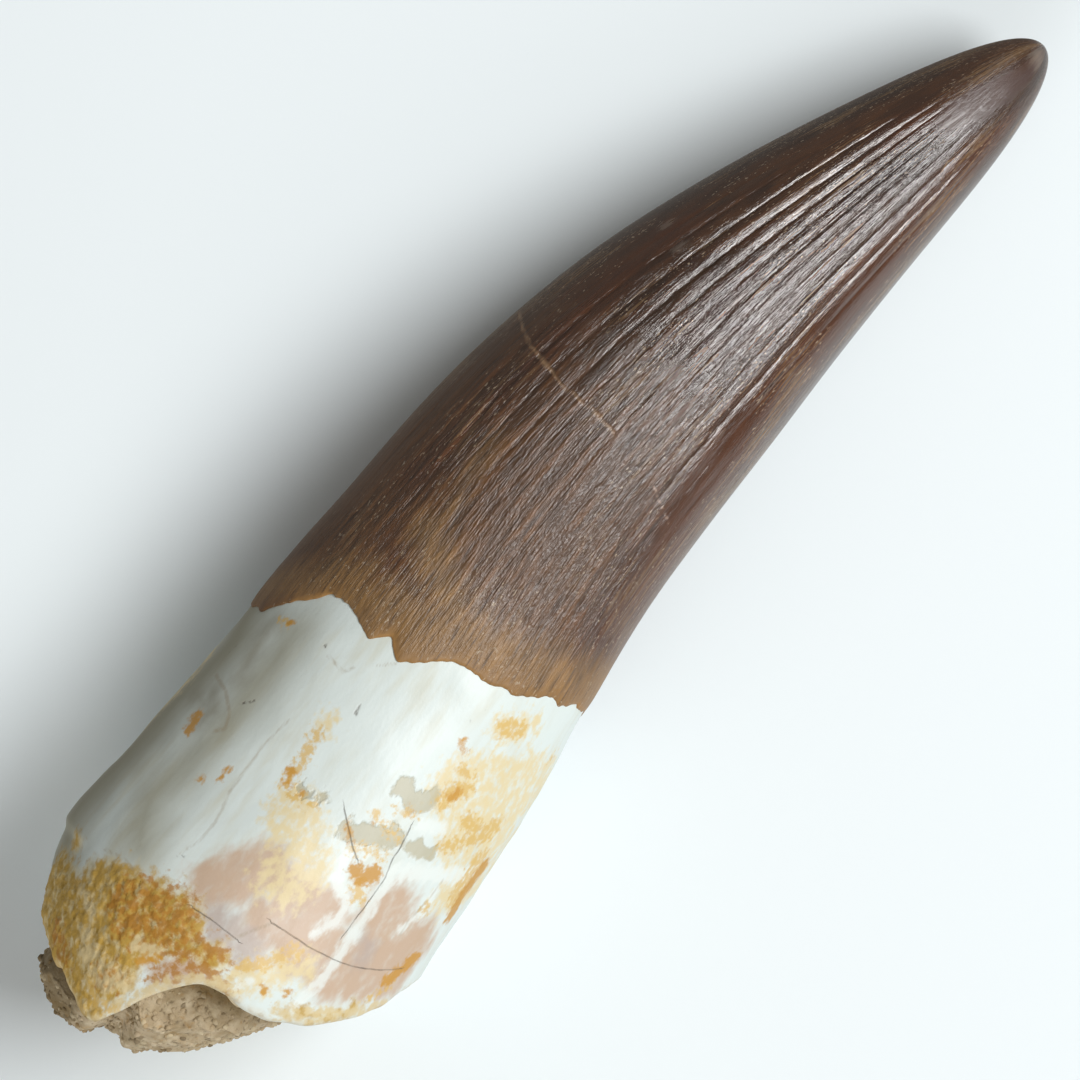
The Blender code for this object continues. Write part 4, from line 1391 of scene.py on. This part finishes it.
@dataclass
class SandPlug:
    """The sandy matrix that fills the hollow and stands out of the break."""

    form: ToothForm
    finish: MineralFinish = SANDSTONE
    segments: int = 220
    side_rings: int = 44
    end_rings: int = 60
    gap: float = 0.02
    low_side: float = -2.3
    side_curve: float = 0.118
    height_curve: float = 0.05
    lowest: float = -1.0
    lump_height: float = 0.42
    lump_size: float = 2.1
    notch_side: float = -1.2
    notch_half_width: float = 0.7
    notch_depth: float = 1.4
    notch_fades_at: tuple[float, float] = (-3.0, 0.0)
    bare_from: float = 0.2
    bare_to: float = 1.2
    degrees_per_mm: float = 14.0
    fine_height: float = 0.22
    fine_size: float = 0.6
    fine_often: float = 8.0
    end_seed: float = 7.0
    side_seed: float = 1.0
    # The side's rings crowd towards the rim by this power.
    side_spacing: float = 1.5
    rim_rounds: int = 5
    # Grains of sand: their radius, how densely they lie, how deep they sit and how much they vary.
    grain_size: float = 0.12
    grains_per_mm2: float = 5.5
    grain_sinks: float = 0.4
    grain_scales: tuple[float, float] = (0.4, 1.6)
    grain_turns: float = 6.28
    grain_lumps_per_metre: float = 5000.0
    grain_wobble: float = 0.00022
    # The seeds of the grains' places, and of their sizes, turns, dark tint and pale tint.
    grain_seed: int = 4
    grain_seeds: tuple[int, int, int, int] = (5, 6, 7, 8)
    dark_grains: float = 0.12
    pale_grains: float = 0.14
    stain_from: float = 3.0

    def radius(self, station: Array) -> Array:
        """The plug's radius, all but touching the hollow's wall."""
        return np.maximum(self.form.hollow_radius(station) - self.gap, 0.0)

    def end_station(self, radius: Array, angle: Array) -> Array:
        """Stations of the plug's domed end, with its notch and its sandy lumps."""
        side = radius * np.sin(np.radians(angle)) - self.form.hollow_shift
        height = radius * np.cos(np.radians(angle))
        dome = self.lowest + self.side_curve * (side - self.low_side) ** 2 + self.height_curve * height**2
        across = np.exp(-(((side - self.notch_side) / self.notch_half_width) ** 2))
        notch = self.notch_depth * across * step_up(height, *self.notch_fades_at)
        places = stacked(side, height, self.end_seed + 0.0 * side)
        fine = self.fine_height * lumps(places / self.fine_size)
        return dome + notch + self.lump_height * lumps(places / self.lump_size) + fine

    def base_mesh(self) -> Mesh:
        """The plug's closed mesh before its grains."""
        form = self.form
        angle = np.arange(self.segments) * 360.0 / self.segments
        rim = 0.0 * angle
        for _ in range(self.rim_rounds):
            rim = self.end_station(self.radius(rim), angle)
        shares = np.linspace(1.0, 0.0, self.side_rings + 1)[:-1, None] ** self.side_spacing
        station = rim + shares * (form.hollow_top - self.gap - rim)
        station = station[1:]
        angles = np.broadcast_to(angle, station.shape)
        bare = step_up(around(form.break_edge, angle) - station, self.bare_from, self.bare_to)
        places = stacked(station, angles / self.degrees_per_mm, self.side_seed + 0.0 * station)
        lumpy = self.lump_height * lumps(places / self.lump_size)
        around_place = form.ring_place(angles, self.fine_often, station / self.fine_size)
        lumpy = bare * (lumpy + self.fine_height * lumps(around_place))
        side = form.on_hollow(station, angles, self.radius(station) + lumpy)
        spread = (1.0 - np.arange(0, self.end_rings) / self.end_rings)[:, None]
        radius = spread * self.radius(rim)
        end_angles = np.broadcast_to(angle, radius.shape)
        end_stations = self.end_station(radius, end_angles)
        end = form.on_hollow(end_stations, end_angles, radius)
        rings = np.concatenate((side, end))
        pole_station = self.end_station(np.array(0.0), np.array(0.0))
        first = form.on_hollow(np.array(form.hollow_top - self.gap), np.array(0.0), np.array(0.0))
        last = form.on_hollow(pole_station, np.array(0.0), np.array(0.0))
        mesh = closed_mesh("matrix", rings, first, last)
        plain = np.full(rings.shape[:2], -1.0)
        bareness = np.concatenate((bare, np.ones(radius.shape)))
        stain = np.clip(self.stain_from - rings[..., 1] + form.place[1], -FIELD_REACH, FIELD_REACH)
        fields = {"rod": rings, "bareness": bareness, "left_stain": -stain}
        fields.update(dark_grain=plain, pale_grain=plain)
        store_fields(mesh, fields)
        return mesh

    def graining(self, values: dict[str, object]) -> NodeTree:
        """Geometry nodes that strew sand grains over the bare end of the plug."""
        tree, inputs, end = new_tree("sand_grains", values)
        smallest, largest = self.grain_scales
        size_seed, turn_seed, dark_seed, pale_seed = self.grain_seeds
        bare = field_value(tree, "bareness")
        density = add_node(
            tree, "ShaderNodeMath", {0: bare, 1: inputs["Grains per Square Metre"]}, operation="MULTIPLY"
        )
        scatter = add_node(
            tree,
            "GeometryNodeDistributePointsOnFaces",
            {"Mesh": inputs["Geometry"], "Density": density, "Seed": inputs["Seed"]},
        ).node
        radius = add_node(tree, "ShaderNodeMath", {0: inputs["Grain Radius"], 1: MM}, operation="MULTIPLY")
        ball = add_node(tree, "GeometryNodeMeshIcoSphere", {"Radius": radius, "Subdivisions": 2}, output="Mesh")
        spread = {2: smallest, 3: largest, "Seed": size_seed}
        size = add_node(tree, "FunctionNodeRandomValue", spread, output=1, data_type="FLOAT")
        turn = add_node(
            tree,
            "FunctionNodeRandomValue",
            {0: (0.0, 0.0, 0.0), 1: (self.grain_turns,) * 3, "Seed": turn_seed},
            data_type="FLOAT_VECTOR",
        )
        depth = add_node(tree, "ShaderNodeMath", {0: radius, 1: -self.grain_sinks}, operation="MULTIPLY")
        inwards = add_node(
            tree, "ShaderNodeVectorMath", {0: scatter.outputs["Normal"], "Scale": depth}, operation="SCALE"
        )
        sunk = add_node(
            tree, "GeometryNodeSetPosition", {"Geometry": scatter.outputs["Points"], "Offset": inwards}
        )
        grains = add_node(
            tree,
            "GeometryNodeInstanceOnPoints",
            {"Points": sunk, "Instance": ball, "Rotation": turn, "Scale": size},
        )
        tints = (("dark_grain", self.dark_grains, dark_seed), ("pale_grain", self.pale_grains, pale_seed))
        for label, most, seed in tints:
            odds = {2: most - 1.0, 3: most, "Seed": seed}
            chance = add_node(tree, "FunctionNodeRandomValue", odds, output=1, data_type="FLOAT")
            grains = add_node(
                tree,
                "GeometryNodeStoreNamedAttribute",
                {"Geometry": grains, "Name": label, "Value": chance},
                data_type="FLOAT",
                domain="INSTANCE",
            )
        real = add_node(tree, "GeometryNodeRealizeInstances", {0: grains})
        place = add_node(tree, "GeometryNodeInputPosition")
        roughening = {"Vector": place, "Scale": self.grain_lumps_per_metre, "Detail": 1.0}
        wobble = add_node(tree, "ShaderNodeTexNoise", roughening, output="Color")
        centred = add_node(tree, "ShaderNodeVectorMath", {0: wobble, 1: MIDDLE}, operation="ADD")
        offset = add_node(
            tree, "ShaderNodeVectorMath", {0: centred, "Scale": self.grain_wobble}, operation="SCALE"
        )
        rough = add_node(tree, "GeometryNodeSetPosition", {"Geometry": real, "Offset": offset})
        joined = add_node(tree, "GeometryNodeJoinGeometry", {0: [rough, inputs["Geometry"]]})
        finish_tree(tree, joined, inputs["Material"], end)
        return tree

    def build(self) -> Object:
        """Makes the matrix plug and dresses it."""
        values = {
            "Grain Radius": self.grain_size,
            "Grains per Square Metre": self.grains_per_mm2 * 1e6,
            "Seed": self.grain_seed,
            "Material": self.finish.material(),
        }
        piece = evaluated_piece("matrix", self.base_mesh(), self.graining(values), values)
        return sealed(piece, "matrix_plug")


@dataclass
class Studio:
    """A plain pale floor, soft light and a camera that looks straight down."""

    camera_height: float = 0.33
    camera_x: float = -0.00103
    camera_y: float = 0.00067
    camera_turn: float = -47.15
    view_angle: float = 9.175
    clip_from: float = 0.01
    floor_size: float = 3.0
    floor_colour: str = "#e4ecef"
    floor_roughness: float = 0.7
    mirrored_to: float = 0.028
    world_colour: str = "#efe8df"
    world_strength: float = 0.22
    window_side: float = -40.0
    window_turn: float = 45.0
    window_size: tuple[float, float] = (0.42, 0.2)
    window_distance: float = 0.55
    window_tilt: float = 39.0
    window_power: float = 3.1
    fill_side: float = -165.0
    fill_size: tuple[float, float] = (0.6, 0.6)
    fill_distance: float = 0.9
    fill_tilt: float = 64.0
    fill_power: float = 4.4

    def floor(self) -> None:
        """Lays the floor, a pale painted board. The enamel mirrors only the strip beside the tooth."""
        half = self.floor_size / 2
        material = bpy.data.materials.new("painted_board_pale")
        material.use_nodes = True
        shader = material.node_tree.nodes["Principled BSDF"]
        shader.inputs["Base Color"].default_value = linear(self.floor_colour)
        shader.inputs["Roughness"].default_value = self.floor_roughness
        edges = (-half, -self.mirrored_to, 0.0, half)
        for name, low, high in zip(("floor_lit", "floor_near", "floor_dim"), edges, edges[1:]):
            mesh = bpy.data.meshes.new(name)
            corners = [(-half, low, 0.0), (half, low, 0.0), (half, high, 0.0), (-half, high, 0.0)]
            mesh.from_pydata(corners, [], [(0, 1, 2, 3)])
            mesh.materials.append(material)
            floor = bpy.data.objects.new(name, mesh)
            bpy.context.scene.collection.objects.link(floor)
            floor.visible_glossy = name == "floor_near"

    def softbox(
        self,
        name: str,
        side: float,
        tilt: float,
        distance: float,
        size: tuple[float, float],
        power: float,
        spin: float = 0.0,
    ) -> Object:
        """Hangs a soft rectangular light that faces the tooth.

        Args:
            name: The light's name.
            side: The direction that it stands in, seen from above, in degrees from +X.
            tilt: Its angle from straight above, in degrees.
            distance: Its distance from the origin, in metres.
            size: Its length along the tooth and its width, in metres.
            power: Its power, in watts.
            spin: How far its length is turned from +X, in degrees.

        Returns:
            The light.
        """
        light = bpy.data.lights.new(name, "AREA")
        light.shape = "RECTANGLE"
        light.size, light.size_y = size
        light.energy = power
        obj = bpy.data.objects.new(name, light)
        turn, lean = math.radians(side), math.radians(tilt)
        back = Vector((math.cos(turn) * math.sin(lean), math.sin(turn) * math.sin(lean), math.cos(lean)))
        run = math.radians(spin)
        across = back.cross(Vector((math.cos(run), math.sin(run), 0.0))).normalized()
        along = across.cross(back)
        obj.matrix_world = Matrix((along, across, back)).transposed().to_4x4()
        obj.location = back * distance
        obj.visible_camera = False
        bpy.context.scene.collection.objects.link(obj)
        return obj

    def sky(self) -> None:
        """Sets an even pale surround."""
        world = bpy.data.worlds.new("pale_surround")
        world.use_nodes = True
        background = world.node_tree.nodes["Background"]
        background.inputs["Color"].default_value = linear(self.world_colour)
        background.inputs["Strength"].default_value = self.world_strength
        bpy.context.scene.world = world

    def camera(self) -> None:
        """Places the camera straight above the tooth, turned so that the tip is at the upper right."""
        data = bpy.data.cameras.new("camera")
        data.angle = math.radians(self.view_angle)
        data.clip_start = self.clip_from
        camera = bpy.data.objects.new("camera", data)
        camera.location = (self.camera_x, self.camera_y, self.camera_height)
        camera.rotation_euler = (0.0, 0.0, math.radians(self.camera_turn))
        bpy.context.scene.collection.objects.link(camera)
        bpy.context.scene.camera = camera

    def build(self) -> None:
        """Sets up the floor, the lights, the surround and the camera."""
        bpy.context.scene.view_settings.view_transform = "Standard"
        self.floor()
        self.sky()
        self.camera()
        self.softbox(
            "window", self.window_side, self.window_tilt, self.window_distance, self.window_size,
            self.window_power, self.window_turn,
        )
        fill = self.softbox(
            "fill", self.fill_side, self.fill_tilt, self.fill_distance, self.fill_size, self.fill_power
        )
        fill.visible_glossy = False
        log.info("studio: floor, surround, two soft lights and the camera")


def main() -> None:
    """Builds the pieces and the studio, and notes the sizes."""
    logging.basicConfig(level=logging.INFO, format="%(name)s: %(message)s")
    form = ToothForm()
    Studio().build()
    Crown(form).build()
    Root(form).build()
    SandPlug(form).build()


if __name__ == "__main__":
    main()
